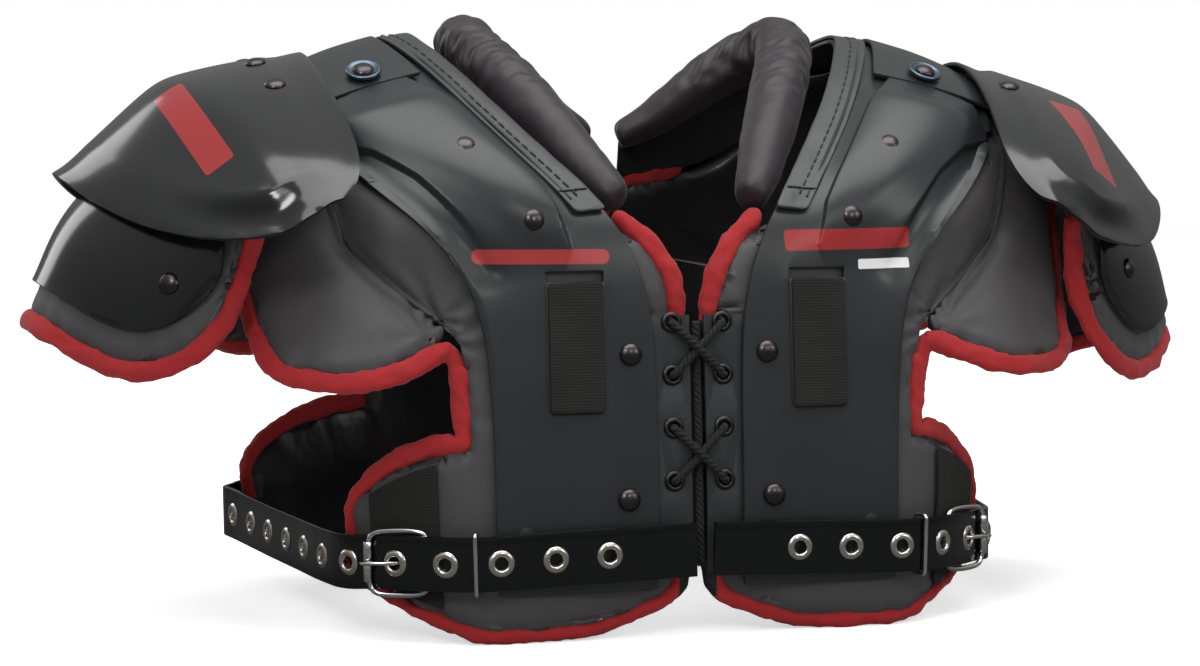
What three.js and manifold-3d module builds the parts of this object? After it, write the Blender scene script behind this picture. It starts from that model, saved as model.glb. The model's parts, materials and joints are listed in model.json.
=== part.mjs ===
// Football shoulder pads: two plastic arches over quilted pads, with flaps, caps, laces and belts.
// Millimetres. +Z is up, the wearer faces -Y and +X is the wearer's left side.
// The tables start from the floor under the neck; the whole is then set over the origin.
import * as THREE from "three";
import { mergeVertices } from "three/addons/utils/BufferGeometryUtils.js";
import Module from "manifold-3d";

const wasm = await Module();
wasm.setup();

// Overall sizes
const REACH = 300; // centre line to the outside of the cap pad
const DEPTH = 120; // centre line to the front and back of the chest
const RISE = 280; // floor to the top of the neck edge
const SHOULDER_Y = 10; // the flap and cap are symmetric about this plane

// Walls and clearances
const SHELL_WALL = 2.5;
const TAB_WALL = 2;
const BINDING_WALL = 2;
const STRAP_WALL = 2.2;
const BELT_WALL = 2.2;
const WEBBING_WALL = 1.6;
const PAD_WALL = 15;
const PAD_EDGE = 8;
const LOBE_WALL = 10;
const CAP_PAD_WALL = 12;
const CAP_PAD_EDGE = 7;
const CLEARANCE = 0.5; // between pieces that lie on each other
const PAD_GAP = 0.9; // between the curved shell and what lies under or over it
const SEAM = 1; // between two soft edges sewn side by side

// Shell details
const HUMP_RISE = 7;
const BINDING_WIDTH = 15;
const SHELL_CROWN = 4; // over the shoulder; the chest and back are flat
const FLAP_CROWN = 3;

// Soft trim
const PIPING_WIDTH = 10;
const HEM_PIPING_WIDTH = 7; // along the bottom, where the tape is folded under
const PIPING_GAP = 0.9;
const ROLL_RADIUS = 14.5;

// Straps, laces and metal
const WEBBING_WIDTH = 25;
const CHEST_WEBBING_LENGTH = 56;
const SLOT_HEIGHT = 5;
const BELT_WIDTH = 24.5;
const HOLE_RADIUS = 3.2;
const HOLE_PITCH = 25;
const LACE_RADIUS = 1.9;
const LACE_HOLE_RADIUS = 3.6;
const LACE_HOLE_X = 12;
const WIRE = 3.2; // buckle frame
const FRAME_PLAY = 0.85; // between the inside of the buckle frame and an edge of the belt
const KEEPER_WIRE = 2;
const PRONG_WIRE = 2.2;
const RIVET_RADIUS = 4.6;
const RIVET_RISE = 2.6;
const WASHER_RADIUS = 8.2;

// How the flap and cap hang: the turn down on the left, up on the right, the point they turn about
// and how far each side is lifted onto its strap
const HANG = { degrees: 3, x: 180, z: 190, liftLeft: -1.3, liftRight: 3.8 };

// Each row is a section of the arch, from the front hem over the shoulder to the back hem. It holds
// the neck or lace edge, the arm-side edge of the shell and the reach of the pad at the side, as
// shares of REACH, DEPTH and RISE.
const ARCH_SECTIONS = [
  { inner: [0.067, -0.887, 0.079], edge: [0.317, -0.887, 0.079], side: [0.513, -0.517, 0.079] },
  { inner: [0.067, -0.887, 0.214], edge: [0.32, -0.887, 0.214], side: [0.527, -0.508, 0.214] },
  { inner: [0.067, -0.867, 0.357], edge: [0.32, -0.867, 0.357], side: [0.527, -0.517, 0.35] },
  { inner: [0.069, -0.84, 0.493], edge: [0.33, -0.842, 0.5], side: [0.52, -0.57, 0.525] },
  { inner: [0.09, -0.817, 0.607], edge: [0.36, -0.808, 0.589], side: [0.527, -0.6, 0.611] },
  { inner: [0.14, -0.73, 0.7], edge: [0.407, -0.775, 0.664], side: [0.54, -0.617, 0.679] },
  { inner: [0.21, -0.525, 0.786], edge: [0.467, -0.667, 0.727], side: [0.553, -0.567, 0.733] },
  { inner: [0.27, -0.333, 0.862], edge: [0.527, -0.483, 0.794], side: [0.573, -0.45, 0.787] },
  { inner: [0.323, -0.1, 0.934], edge: [0.56, -0.25, 0.87], side: [0.59, -0.242, 0.859] },
  { inner: [0.36, 0.15, 0.979], edge: [0.573, 0.1, 0.907], side: [0.597, 0.1, 0.898] },
  { inner: [0.337, 0.317, 0.962], edge: [0.57, 0.375, 0.877], side: [0.593, 0.367, 0.866] },
  { inner: [0.26, 0.442, 0.914], edge: [0.547, 0.633, 0.8], side: [0.58, 0.592, 0.787] },
  { inner: [0.16, 0.533, 0.857], edge: [0.5, 0.792, 0.7], side: [0.567, 0.717, 0.679] },
  { inner: [0.09, 0.65, 0.779], edge: [0.433, 0.883, 0.586], side: [0.553, 0.792, 0.564] },
  { inner: [0.07, 0.775, 0.661], edge: [0.373, 0.925, 0.464], side: [0.55, 0.84, 0.446] },
  { inner: [0.067, 0.873, 0.454], edge: [0.34, 0.942, 0.339], side: [0.587, 0.86, 0.339] },
  { inner: [0.067, 0.92, 0.214], edge: [0.327, 0.95, 0.214], side: [0.593, 0.86, 0.214] },
  { inner: [0.067, 0.92, 0.079], edge: [0.327, 0.95, 0.079], side: [0.573, 0.86, 0.079] },
];
const LAST_SECTION = ARCH_SECTIONS.length - 1;
const TOP_SECTION = 9;

// The flap over the shoulder, from its front tip to its middle: the edge at the neck side, the
// ridge, the crease under it and the rim, as shares of REACH, DEPTH and RISE.
const FLAP_SECTIONS = [
  {
    inner: [0.543, -0.933, 0.707],
    ridge: [0.587, -0.967, 0.686],
    crease: [0.607, -0.975, 0.675],
    rim: [0.633, -0.967, 0.65],
  },
  {
    inner: [0.517, -0.833, 0.746],
    ridge: [0.623, -0.925, 0.711],
    crease: [0.677, -0.9, 0.675],
    rim: [0.71, -0.867, 0.634],
  },
  {
    inner: [0.515, -0.708, 0.789],
    ridge: [0.647, -0.792, 0.761],
    crease: [0.743, -0.783, 0.67],
    rim: [0.777, -0.7, 0.637],
  },
  {
    inner: [0.523, -0.55, 0.837],
    ridge: [0.68, -0.583, 0.807],
    crease: [0.8, -0.558, 0.686],
    rim: [0.837, -0.467, 0.652],
  },
  {
    inner: [0.54, -0.292, 0.9],
    ridge: [0.74, -0.292, 0.857],
    crease: [0.863, -0.275, 0.725],
    rim: [0.9, -0.183, 0.691],
  },
  {
    inner: [0.553, 0.083, 0.952],
    ridge: [0.793, 0.083, 0.884],
    crease: [0.9, 0.083, 0.757],
    rim: [0.935, 0.083, 0.727],
  },
];

// The pad under the cap, from its front edge to its middle: top, bulge and rim, as the same
// shares. The cap lies on it and is a little smaller all round.
const CAP_SECTIONS = [
  { top: [0.66, -0.6, 0.718], bulge: [0.677, -0.633, 0.65], rim: [0.687, -0.625, 0.571] },
  { top: [0.673, -0.483, 0.764], bulge: [0.713, -0.6, 0.636], rim: [0.72, -0.633, 0.489] },
  { top: [0.67, -0.35, 0.807], bulge: [0.763, -0.508, 0.632], rim: [0.797, -0.525, 0.432] },
  { top: [0.663, -0.208, 0.843], bulge: [0.823, -0.35, 0.65], rim: [0.867, -0.358, 0.443] },
  { top: [0.657, -0.067, 0.861], bulge: [0.873, -0.158, 0.675], rim: [0.933, -0.167, 0.486] },
  { top: [0.653, 0.083, 0.864], bulge: [0.89, 0.083, 0.693], rim: [0.967, 0.083, 0.507] },
];

// The shoulder pad, from the bottom of its front lobe to its top: where on the arch its sewn edge
// lies at the front and at the back, its middle and its outer edge.
const LOBE_SECTIONS = [
  { seamFront: 3, seamBack: 13.85, middle: [0.51, -0.875, 0.45], outer: [0.623, -0.7, 0.457] },
  { seamFront: 3.3, seamBack: 13.6, middle: [0.53, -0.783, 0.529], outer: [0.65, -0.5, 0.536] },
  { seamFront: 3.8, seamBack: 13.2, middle: [0.56, -0.65, 0.611], outer: [0.663, -0.4, 0.618] },
  { seamFront: 5.1, seamBack: 12.4, middle: [0.61, -0.475, 0.704], outer: [0.677, -0.283, 0.704] },
  { seamFront: 7.4, seamBack: 10.9, middle: [0.633, -0.225, 0.775], outer: [0.687, -0.15, 0.754] },
  { seamFront: 9.1, seamBack: 9.1, middle: [0.643, 0.083, 0.807], outer: [0.693, 0.083, 0.782] },
];

// The neck roll, from its front end to its back end: centre line and thickness, as a share of
// ROLL_RADIUS.
const ROLL_SECTIONS = [
  { centre: [0.105, -0.665, 0.705], girth: 0.55 },
  { centre: [0.137, -0.54, 0.75], girth: 0.78 },
  { centre: [0.187, -0.32, 0.836], girth: 1 },
  { centre: [0.235, -0.1, 0.911], girth: 1 },
  { centre: [0.268, 0.1, 0.963], girth: 1 },
  { centre: [0.263, 0.25, 0.966], girth: 1 },
  { centre: [0.215, 0.35, 0.936], girth: 0.95 },
  { centre: [0.14, 0.41, 0.88], girth: 0.85 },
  { centre: [0.08, 0.455, 0.832], girth: 0.66 },
  { centre: [0.026, 0.485, 0.805], girth: 0.5 },
];

// The belt follows the front of the arch, runs free past the side and follows the back. Its places
// hold the share across the arch, or a place in plan where it is free, and its height as a share of
// RISE.
const BELT_FRONT = [
  { name: "tip", across: -0.21, height: 0.146 },
  { name: "chest", across: 0.3, height: 0.143 },
  { name: "shell edge", across: 0.9, height: 0.138 },
  { name: "keeper", across: 1.2, height: 0.136 },
  { name: "hinge bar", across: 1.54, height: 0.134 },
  { name: "far bar", across: 1.84, height: 0.131 },
  { name: "front rib", across: 1.97, height: 0.127 },
];
const BELT_SPAN = [
  { name: "side", at: [0.566, 0.02, 0.129] },
  { name: "back of the side", at: [0.6, 0.5, 0.135] },
  { name: "back corner", at: [0.62, 0.84, 0.142] },
];
const BELT_BACK = [
  { name: "back rib", across: 1.96, height: 0.143 },
  { name: "back pad", across: 1.6, height: 0.146 },
  { name: "back edge", across: 1, height: 0.15 },
  { name: "back rivet", across: 0.62, height: 0.15 },
];

const COLOURS = {
  shell: { color: 0x35383a, roughness: 0.35, metalness: 0 },
  gloss: { color: 0x1c1e20, roughness: 0.15, metalness: 0 },
  vinyl: { color: 0x2c2e30, roughness: 0.4, metalness: 0 },
  padding: { color: 0x4c4a4c, roughness: 0.8, metalness: 0 },
  lining: { color: 0x2b262a, roughness: 0.5, metalness: 0 },
  piping: { color: 0x9e1f22, roughness: 0.8, metalness: 0 },
  webbing: { color: 0x1d1b1a, roughness: 0.9, metalness: 0 },
  cord: { color: 0x171414, roughness: 0.85, metalness: 0 },
  rivet: { color: 0x4a4649, roughness: 0.35, metalness: 0.8 },
  chrome: { color: 0xc9c9c6, roughness: 0.15, metalness: 1 },
};

// Small maths

const lerp = (a, b, t) => a + (b - a) * t;

const smooth = (low, high, x) => THREE.MathUtils.smoothstep(x, low, high);

const sized = ([x, y, z]) => new THREE.Vector3(x * REACH, y * DEPTH, z * RISE);

// A smooth curve through one column of a table, that runs on straight past its ends.
function columnCurve(points) {
  const curve = new THREE.CatmullRomCurve3(points, false, "centripetal");
  const last = points.length - 1;
  return (at) => {
    const inside = THREE.MathUtils.clamp(at, 0, last);
    const point = curve.getPoint(inside / last);
    const past = at - inside;
    if (past === 0) return point;
    const end = past < 0 ? 0 : last;
    const next = past < 0 ? 1 : last - 1;
    const step = points[end].clone().sub(points[next]).multiplyScalar(Math.abs(past));
    return point.add(step);
  };
}

// The unit normal of a surface function, by central differences.
function normalOf(surface, u, v) {
  const step = 0.01;
  const alongU = surface(u + step, v).sub(surface(u - step, v));
  const alongV = surface(u, v + step).sub(surface(u, v - step));
  return alongV.cross(alongU).normalize();
}

// Solids

function manifoldOf(geometry) {
  const bare = geometry.index ? geometry.toNonIndexed() : geometry.clone();
  const positions = new THREE.BufferGeometry();
  positions.setAttribute("position", bare.getAttribute("position"));
  const merged = mergeVertices(positions, 1e-3);
  return new wasm.Manifold(
    new wasm.Mesh({
      numProp: 3,
      vertProperties: merged.attributes.position.array,
      triVerts: new Uint32Array(merged.index.array),
    }),
  );
}

function geometryOf(manifold) {
  const mesh = manifold.getMesh();
  const count = mesh.vertProperties.length / mesh.numProp;
  const positions = new Float32Array(count * 3);
  for (let i = 0; i < count; i++) {
    positions.set(mesh.vertProperties.subarray(i * mesh.numProp, i * mesh.numProp + 3), i * 3);
  }
  const geometry = new THREE.BufferGeometry();
  geometry.setAttribute("position", new THREE.BufferAttribute(positions, 3));
  geometry.setIndex(new THREE.BufferAttribute(new Uint32Array(mesh.triVerts), 1));
  return geometry;
}

const subtract = (geometry, ...tools) =>
  geometryOf(tools.reduce((solid, tool) => solid.subtract(manifoldOf(tool)), manifoldOf(geometry)));

const union = (...geometries) =>
  geometryOf(geometries.map(manifoldOf).reduce((solid, next) => solid.add(next)));

function volumeOf(positions, triangles) {
  let sum = 0;
  for (let i = 0; i < triangles.length; i += 3) {
    const [a, b, c] = [0, 1, 2].map((k) => positions[triangles[i + k]]);
    sum += a.dot(b.clone().cross(c)) / 6;
  }
  return sum;
}

// A closed geometry from points and triangles, turned to face outwards.
function closedGeometry(positions, triangles) {
  const turned = volumeOf(positions, triangles) < 0;
  const index = [];
  for (let i = 0; i < triangles.length; i += 3) {
    const [a, b, c] = triangles.slice(i, i + 3);
    index.push(a, turned ? c : b, turned ? b : c);
  }
  const geometry = new THREE.BufferGeometry().setFromPoints(positions);
  geometry.setIndex(index);
  geometry.computeVertexNormals();
  return geometry;
}

// A closed sheet: an outer and an inner face over a grid of cells, and walls round the cells that
// are kept. faces(i, j) gives the outer and inner point of a grid corner.
function sheetSolid(rows, columns, faces, keep = () => true) {
  const kept = (i, j) => i >= 0 && j >= 0 && i < rows && j < columns && keep(i, j);
  const positions = [];
  const indexOf = new Map();
  const corner = (i, j, side) => {
    const key = `${i},${j},${side}`;
    if (!indexOf.has(key)) {
      indexOf.set(key, positions.length);
      positions.push(faces(i, j)[side]);
    }
    return indexOf.get(key);
  };
  const triangles = [];
  const quad = (a, b, c, d) => triangles.push(a, b, c, a, c, d);
  const wall = (i0, j0, i1, j1) =>
    quad(corner(i0, j0, 0), corner(i0, j0, 1), corner(i1, j1, 1), corner(i1, j1, 0));
  for (let i = 0; i < rows; i++) {
    for (let j = 0; j < columns; j++) {
      if (!kept(i, j)) continue;
      quad(corner(i, j, 0), corner(i, j + 1, 0), corner(i + 1, j + 1, 0), corner(i + 1, j, 0));
      quad(corner(i, j, 1), corner(i + 1, j, 1), corner(i + 1, j + 1, 1), corner(i, j + 1, 1));
      if (!kept(i - 1, j)) wall(i, j, i, j + 1);
      if (!kept(i, j + 1)) wall(i, j + 1, i + 1, j + 1);
      if (!kept(i + 1, j)) wall(i + 1, j + 1, i + 1, j);
      if (!kept(i, j - 1)) wall(i + 1, j, i, j);
    }
  }
  return closedGeometry(positions, triangles);
}

// A sheet over stops along and across a surface, whose outer face lies above it by raise and whose
// wall goes inwards.
function layer(surface, along, across, { raise = () => 0, wall }) {
  return sheetSolid(along.length - 1, across(along[0]).length - 1, (i, j) => {
    const u = along[i];
    const v = across(u)[j];
    const normal = normalOf(surface, u, v);
    const outer = surface(u, v).addScaledVector(normal, raise(u, v));
    return [outer, outer.clone().addScaledVector(normal, -wall)];
  });
}

// A solid swept along stations. Each station has a centre and two directions, and the section is a
// list of [across, out] offsets.
function sweepSolid(stations, sectionAt, closed = false) {
  const sides = sectionAt(0).length;
  const positions = stations.flatMap(({ centre, across, out }, i) =>
    sectionAt(i).map(([a, b]) =>
      centre.clone().addScaledVector(across, a).addScaledVector(out, b),
    ),
  );
  const triangles = [];
  const spans = closed ? stations.length : stations.length - 1;
  for (let i = 0; i < spans; i++) {
    const next = (i + 1) % stations.length;
    for (let k = 0; k < sides; k++) {
      const after = (k + 1) % sides;
      const [a, b] = [i * sides + k, i * sides + after];
      const [c, d] = [next * sides + after, next * sides + k];
      triangles.push(a, b, c, a, c, d);
    }
  }
  if (!closed) {
    const end = (stations.length - 1) * sides;
    for (let k = 1; k < sides - 1; k++) {
      triangles.push(0, k + 1, k, end, end + k, end + k + 1);
    }
  }
  return closedGeometry(positions, triangles);
}

// A regular polygon section.
const roundSection = (radius, sides) =>
  Array.from({ length: sides }, (_, k) => {
    const angle = (2 * Math.PI * (k + 0.5)) / sides;
    return [radius * Math.cos(angle), radius * Math.sin(angle)];
  });

// Stations along a list of points, with out as near as possible to outward.
function stationsAlong(points, outwardAt, closed = false) {
  const last = points.length - 1;
  return points.map((centre, i) => {
    const before = points[i === 0 ? (closed ? last : 0) : i - 1];
    const after = points[i === last ? (closed ? 0 : last) : i + 1];
    const tangent = after.clone().sub(before).normalize();
    const outward = outwardAt(i);
    const across = outward.clone().cross(tangent).normalize();
    return { centre, tangent, across, out: tangent.clone().cross(across).normalize() };
  });
}

// The arch surface, which every plate and pad of the body follows

const innerEdge = columnCurve(ARCH_SECTIONS.map(({ inner }) => sized(inner)));
const shellEdge = columnCurve(ARCH_SECTIONS.map(({ edge }) => sized(edge)));
const sideReach = columnCurve(ARCH_SECTIONS.map(({ side }) => sized(side)));
const SIDE_PULL = 0.27; // how far the side keeps the direction of the chest before it turns

// The outer face of the shell: u counts sections, v is 0 at the neck edge, 1 at the arm-side edge
// and 2 at the reach of the side.
function arch(u, v) {
  const inner = innerEdge(u);
  const edge = shellEdge(u);
  const width = edge.clone().sub(inner);
  if (v <= 1) {
    const overShoulder = 1 - smooth(2, 5.5, Math.abs(u - TOP_SECTION));
    const crown = v > 0 ? SHELL_CROWN * overShoulder * 4 * v * (1 - v) : 0;
    const along = innerEdge(u + 0.05).sub(innerEdge(u - 0.05));
    const up = width.clone().cross(along).normalize();
    return inner.addScaledVector(width, v).addScaledVector(up, crown);
  }
  const side = sideReach(u);
  const t = v - 1;
  const pull = side.distanceTo(edge) * SIDE_PULL;
  const control = edge.clone().addScaledVector(width.normalize(), pull);
  return edge
    .multiplyScalar((1 - t) ** 2)
    .addScaledVector(control, 2 * t * (1 - t))
    .addScaledVector(side, t * t);
}

const archWidth = (u) => shellEdge(u).distanceTo(innerEdge(u));

// The section where the arch is at a height, at its arm-side edge, between a section below it and
// one above it.
function sectionAtHeight(height, from, to) {
  let [low, high] = [from, to];
  for (let i = 0; i < 40; i++) {
    const middle = (low + high) / 2;
    if (shellEdge(middle).z > height) high = middle;
    else low = middle;
  }
  return (low + high) / 2;
}

// Plastic arch

const HUMP_FRONT = { fade: 4.2, full: 5.8, end: 7.2, off: 7.45 };
const HUMP_BACK = { off: 10.55, end: 10.8, full: 12.4, fade: 14 };
const BAND_SHARE = 0.2; // part of the width that the neck band and its margin take

const humpEdge = (u) => {
  const fromTop = Math.abs(u - TOP_SECTION);
  return lerp(0.92, 0.6, smooth(1.6, 4.8, fromTop));
};

const humpLength = (u) =>
  u < TOP_SECTION
    ? smooth(HUMP_FRONT.fade, HUMP_FRONT.full, u) * (1 - smooth(HUMP_FRONT.end, HUMP_FRONT.off, u))
    : smooth(HUMP_BACK.off, HUMP_BACK.end, u) * (1 - smooth(HUMP_BACK.full, HUMP_BACK.fade, u));

const hump = (u, v) =>
  HUMP_RISE *
  humpLength(u) *
  smooth(BAND_SHARE, BAND_SHARE + 0.1, v) *
  (1 - smooth(humpEdge(u) - 0.12, humpEdge(u), v));

const shellColumns = (u) => {
  const edge = humpEdge(u);
  const start = BAND_SHARE + 0.1;
  return [0, BAND_SHARE, start, (start + edge - 0.12) / 2, edge - 0.12, edge, 1];
};

const SHELL_ROWS = [
  0, 1, 2, 3, 3.7, 4.3, 4.8, 5.3, 5.8, 6.4, 7, 7.2, 7.45, 8.1, 8.7, 9.1, 9.5, 10, 10.55, 10.8,
  11.3, 11.8, 12.4, 13, 13.3, 13.6, 13.85, 14.2, 14.6, 15, 16, 17,
];

const SLOT = { x: 0.192, top: 0.578 }; // middle and top of the chest webbing, shares of REACH and RISE

const slotSection = sectionAtHeight(SLOT.top * RISE, 0, 6);
const acrossAt = (u, x) => (x - innerEdge(u).x) / (shellEdge(u).x - innerEdge(u).x);

function archShell() {
  const shell = layer(arch, SHELL_ROWS, shellColumns, { raise: hump, wall: SHELL_WALL });
  const slot = new THREE.BoxGeometry(WEBBING_WIDTH + 2, SHELL_WALL * 8, SLOT_HEIGHT);
  const centre = arch(slotSection, acrossAt(slotSection, SLOT.x * REACH));
  slot.translate(centre.x, centre.y, centre.z);
  return subtract(shell, slot);
}

function neckBinding() {
  const rows = [4.9, 5.3, 5.8, 6.4, 7, 7.6, 8.2, 8.7, 9.1, 9.6, 10, 10.5, 11, 11.6, 12.3, 13];
  return layer(arch, rows, (u) => [0, BINDING_WIDTH / archWidth(u)], {
    raise: () => CLEARANCE + BINDING_WALL,
    wall: BINDING_WALL,
  });
}

// The bridge over the top of the arch carries the flap and the cap.
const BRIDGE = { from: 7.7, to: 10.2, inner: 0.26, reach: 22, lift: 2 };

function bridgePoint(u, v) {
  if (v <= 1) return arch(u, lerp(BRIDGE.inner, 1, v));
  const past = v - 1;
  const edge = arch(u, 1);
  const outwards = edge.clone().sub(arch(u, 0.6)).normalize();
  const point = edge.addScaledVector(outwards, past * BRIDGE.reach);
  point.z += BRIDGE.lift * past * past;
  point.y = lerp(point.y, SHOULDER_Y + (point.y - SHOULDER_Y) * 0.75, past);
  return point;
}

function bridgeStrap() {
  const rows = [BRIDGE.from, 8.1, 8.7, 9.1, 9.5, 10, BRIDGE.to];
  return layer(bridgePoint, rows, () => [0, 0.4, 0.75, 1, 1.5, 2], {
    raise: () => PAD_GAP + STRAP_WALL,
    wall: STRAP_WALL,
  });
}

// Flap and cap

// A table of half a shape, mirrored to the back about the shoulder plane.
function mirroredRows(rows, keys) {
  const placed = rows.map((row) => Object.fromEntries(keys.map((key) => [key, sized(row[key])])));
  const mirror = (point) => new THREE.Vector3(point.x, 2 * SHOULDER_Y - point.y, point.z);
  const back = placed
    .slice(0, -1)
    .reverse()
    .map((row) => Object.fromEntries(keys.map((key) => [key, mirror(row[key])])));
  return [...placed, ...back];
}

// A surface through the columns of a mirrored table: u counts rows and v counts columns.
function tableSurface(rows, keys, crown) {
  const curves = keys.map((key) => columnCurve(rows.map((row) => row[key])));
  return (u, v) => {
    const column = THREE.MathUtils.clamp(Math.floor(v), 0, curves.length - 2);
    const a = curves[column](u);
    const b = curves[column + 1](u);
    const share = v - column;
    const point = a.clone().lerp(b, share);
    if (share <= 0 || share >= 1) return point;
    const along = curves[column](u + 0.05).sub(curves[column](u - 0.05));
    const up = b.sub(a).cross(along).normalize();
    return point.addScaledVector(up, crown(column) * 4 * share * (1 - share));
  };
}

const flapKeys = ["inner", "ridge", "crease", "rim"];
const flapRows = mirroredRows(FLAP_SECTIONS, flapKeys);
const flapSurface = tableSurface(flapRows, flapKeys, (column) => (column === 0 ? FLAP_CROWN : 0));

// The three columns of the cap pad as one smooth curve, so that it bulges evenly.
const capKeys = ["top", "bulge", "rim"];
const capRows = mirroredRows(CAP_SECTIONS, capKeys);
const capCurves = capKeys.map((key) => columnCurve(capRows.map((row) => row[key])));

function capPadFace(u, v) {
  const [top, bulge, rim] = capCurves.map((curve) => curve(u));
  return columnCurve([top, bulge, rim])(v * 2);
}

const spread = (from, to, count) =>
  Array.from({ length: count + 1 }, (_, i) => lerp(from, to, i / count));

function shoulderFlap() {
  const rows = spread(0, flapRows.length - 1, 14);
  return layer(flapSurface, rows, () => [0, 0.45, 0.9, 1, 2, 3], { wall: SHELL_WALL });
}

// The cap leaves a margin of its pad free: rows at both ends, and a strip along the rim that is
// wider at the rounded corners.
const CAP = { margin: 0.6, rim: 0.9, corner: 0.8 };
const capPadRows = [0, CAP.margin, 1.4, 2.2, 3, 4, 5, 6, 7, 7.8, 8.6, 10 - CAP.margin, 10];
const capRim = (u) => lerp(CAP.corner, CAP.rim, smooth(CAP.margin, 1.8, Math.min(u, 10 - u)));
const capColumns = (u) => [0, 0.25, 0.5, 0.72, capRim(u)];

function shoulderCap() {
  return layer(capPadFace, capPadRows.slice(1, -1), capColumns, {
    raise: () => CLEARANCE + SHELL_WALL,
    wall: SHELL_WALL,
  });
}

function capPad() {
  const last = capPadRows.length - 1;
  const columns = capColumns(0).length;
  return sheetSolid(last, columns, (i, j) => {
    const u = capPadRows[i];
    const v = [...capColumns(u), 1][j];
    const outer = capPadFace(u, v);
    const onEdge = i === 0 || i === last || j === 0 || j === columns;
    const wall = onEdge ? CAP_PAD_EDGE : CAP_PAD_WALL;
    return [outer, outer.clone().addScaledVector(normalOf(capPadFace, u, v), -wall)];
  });
}

// Body pads

const ARMHOLE = 1.21; // where a pad ends beside the armhole, across the arch
const HEM_HEIGHT = HEM_PIPING_WIDTH + PIPING_GAP; // the tape under the lowest hem touches the floor
const shareBelow = (lowest, next) => (lowest.z - HEM_HEIGHT) / (next.z - lowest.z);
const FRONT_PAD = {
  hem: -shareBelow(shellEdge(0), shellEdge(1)),
  sideTop: 1.66,
  sideEnd: 1.96,
  notchTop: 2.65,
  wide: 4.1,
  lifts: [
    { across: -0.2, lift: 0.56 },
    { across: -0.05, lift: 0.36 },
    { across: 0.16, lift: 0.18 },
    { across: 0.36, lift: 0 },
    { across: 1.22, lift: 0 },
    { across: 1.4, lift: 0.1 },
    { across: 1.6, lift: 0.2 },
    { across: 1.8, lift: 0.36 },
    { across: 1.96, lift: 0.6 },
  ],
};
const BACK_PAD = {
  hem: LAST_SECTION + shareBelow(shellEdge(LAST_SECTION), shellEdge(LAST_SECTION - 1)),
  sideTop: 15.2,
  sideEnd: 1.96,
  notchTop: 14.2,
  wide: 13,
  lifts: [
    { across: -0.2, lift: 0.5 },
    { across: 0.16, lift: 0.14 },
    { across: 0.36, lift: 0 },
    { across: 1.22, lift: 0 },
    { across: 1.5, lift: 0.06 },
    { across: 1.75, lift: 0.2 },
    { across: 1.96, lift: 0.5 },
  ],
};
const SIDE_DROP = 0.65; // how much lower the top of a side part is at its outer end, in sections

// A value from a table of steps, eased between them.
function eased(steps, at, from, key) {
  const next = steps.findIndex((step) => step[from] >= at);
  if (next === 0) return steps[0][key];
  if (next < 0) return steps[steps.length - 1][key];
  const [a, b] = [steps[next - 1], steps[next]];
  return lerp(a[key], b[key], smooth(a[from], b[from], at));
}

// Where a pad begins and ends below the armhole, at a share across the arch.
function sideSpan(pad, v) {
  const up = Math.sign(pad.sideTop - pad.hem);
  const outer = THREE.MathUtils.clamp((v - ARMHOLE) / (pad.sideEnd - ARMHOLE), 0, 1);
  return [
    pad.hem + up * eased(pad.lifts, v, "across", "lift"),
    pad.sideTop - up * SIDE_DROP * outer ** 3,
  ];
}

// The inner edge of a pad: over the lace edge on the chest and the back, back under the shell
// where the neck roll lies.
const NECK_STEPS = [
  { section: 3, across: -0.1 },
  { section: 4, across: -0.12 },
  { section: 4.6, across: -0.05 },
  { section: 4.8, across: 0 },
  { section: 5.3, across: 0.22 },
  { section: 6, across: 0.3 },
  { section: 12.8, across: 0.3 },
  { section: 13.2, across: 0.12 },
  { section: 13.6, across: -0.05 },
  { section: 13.9, across: -0.1 },
];
const padInner = (u) => eased(NECK_STEPS, u, "section", "across");

// The arm-side edge of a pad above its side part.
function padOuter(u) {
  const pad = u < TOP_SECTION ? FRONT_PAD : BACK_PAD;
  const share = THREE.MathUtils.clamp((u - pad.notchTop) / (pad.wide - pad.notchTop), 0, 1);
  return lerp(ARMHOLE, 2, share);
}

// A pad lies under the shell, and deeper under the lace tab at the centre.
const TAB = { frontTop: 3.25, backTop: 14.2, bottom: 0.2, centre: 3.5, hidden: 0.2 };

function underTab(u, v) {
  const beside = 1 - smooth(TAB.hidden + 0.12, TAB.hidden + 0.32, v);
  const front = 1 - smooth(TAB.frontTop, TAB.frontTop + 0.5, u);
  return beside * (u < TOP_SECTION ? front : smooth(TAB.backTop - 0.5, TAB.backTop, u));
}

const padNormal = (u, v) => normalOf(arch, u, Math.max(v, 0.02));

function padFace(u, v) {
  const sink = SHELL_WALL + PAD_GAP + (TAB_WALL + CLEARANCE) * underTab(u, v);
  return arch(u, v).addScaledVector(padNormal(u, v), -sink);
}

const MAIN_COLUMNS = [0, 0.16, 0.36, 0.6, 0.82, 1];
const SIDE_COLUMNS = [0.25, 0.5, 0.75, 1];
const HEM_ROWS = [0, 0.1, 0.32, 0.66, 1];
const LAST_MAIN = MAIN_COLUMNS.length - 1;
const LAST_SIDE = LAST_MAIN + SIDE_COLUMNS.length;

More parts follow.
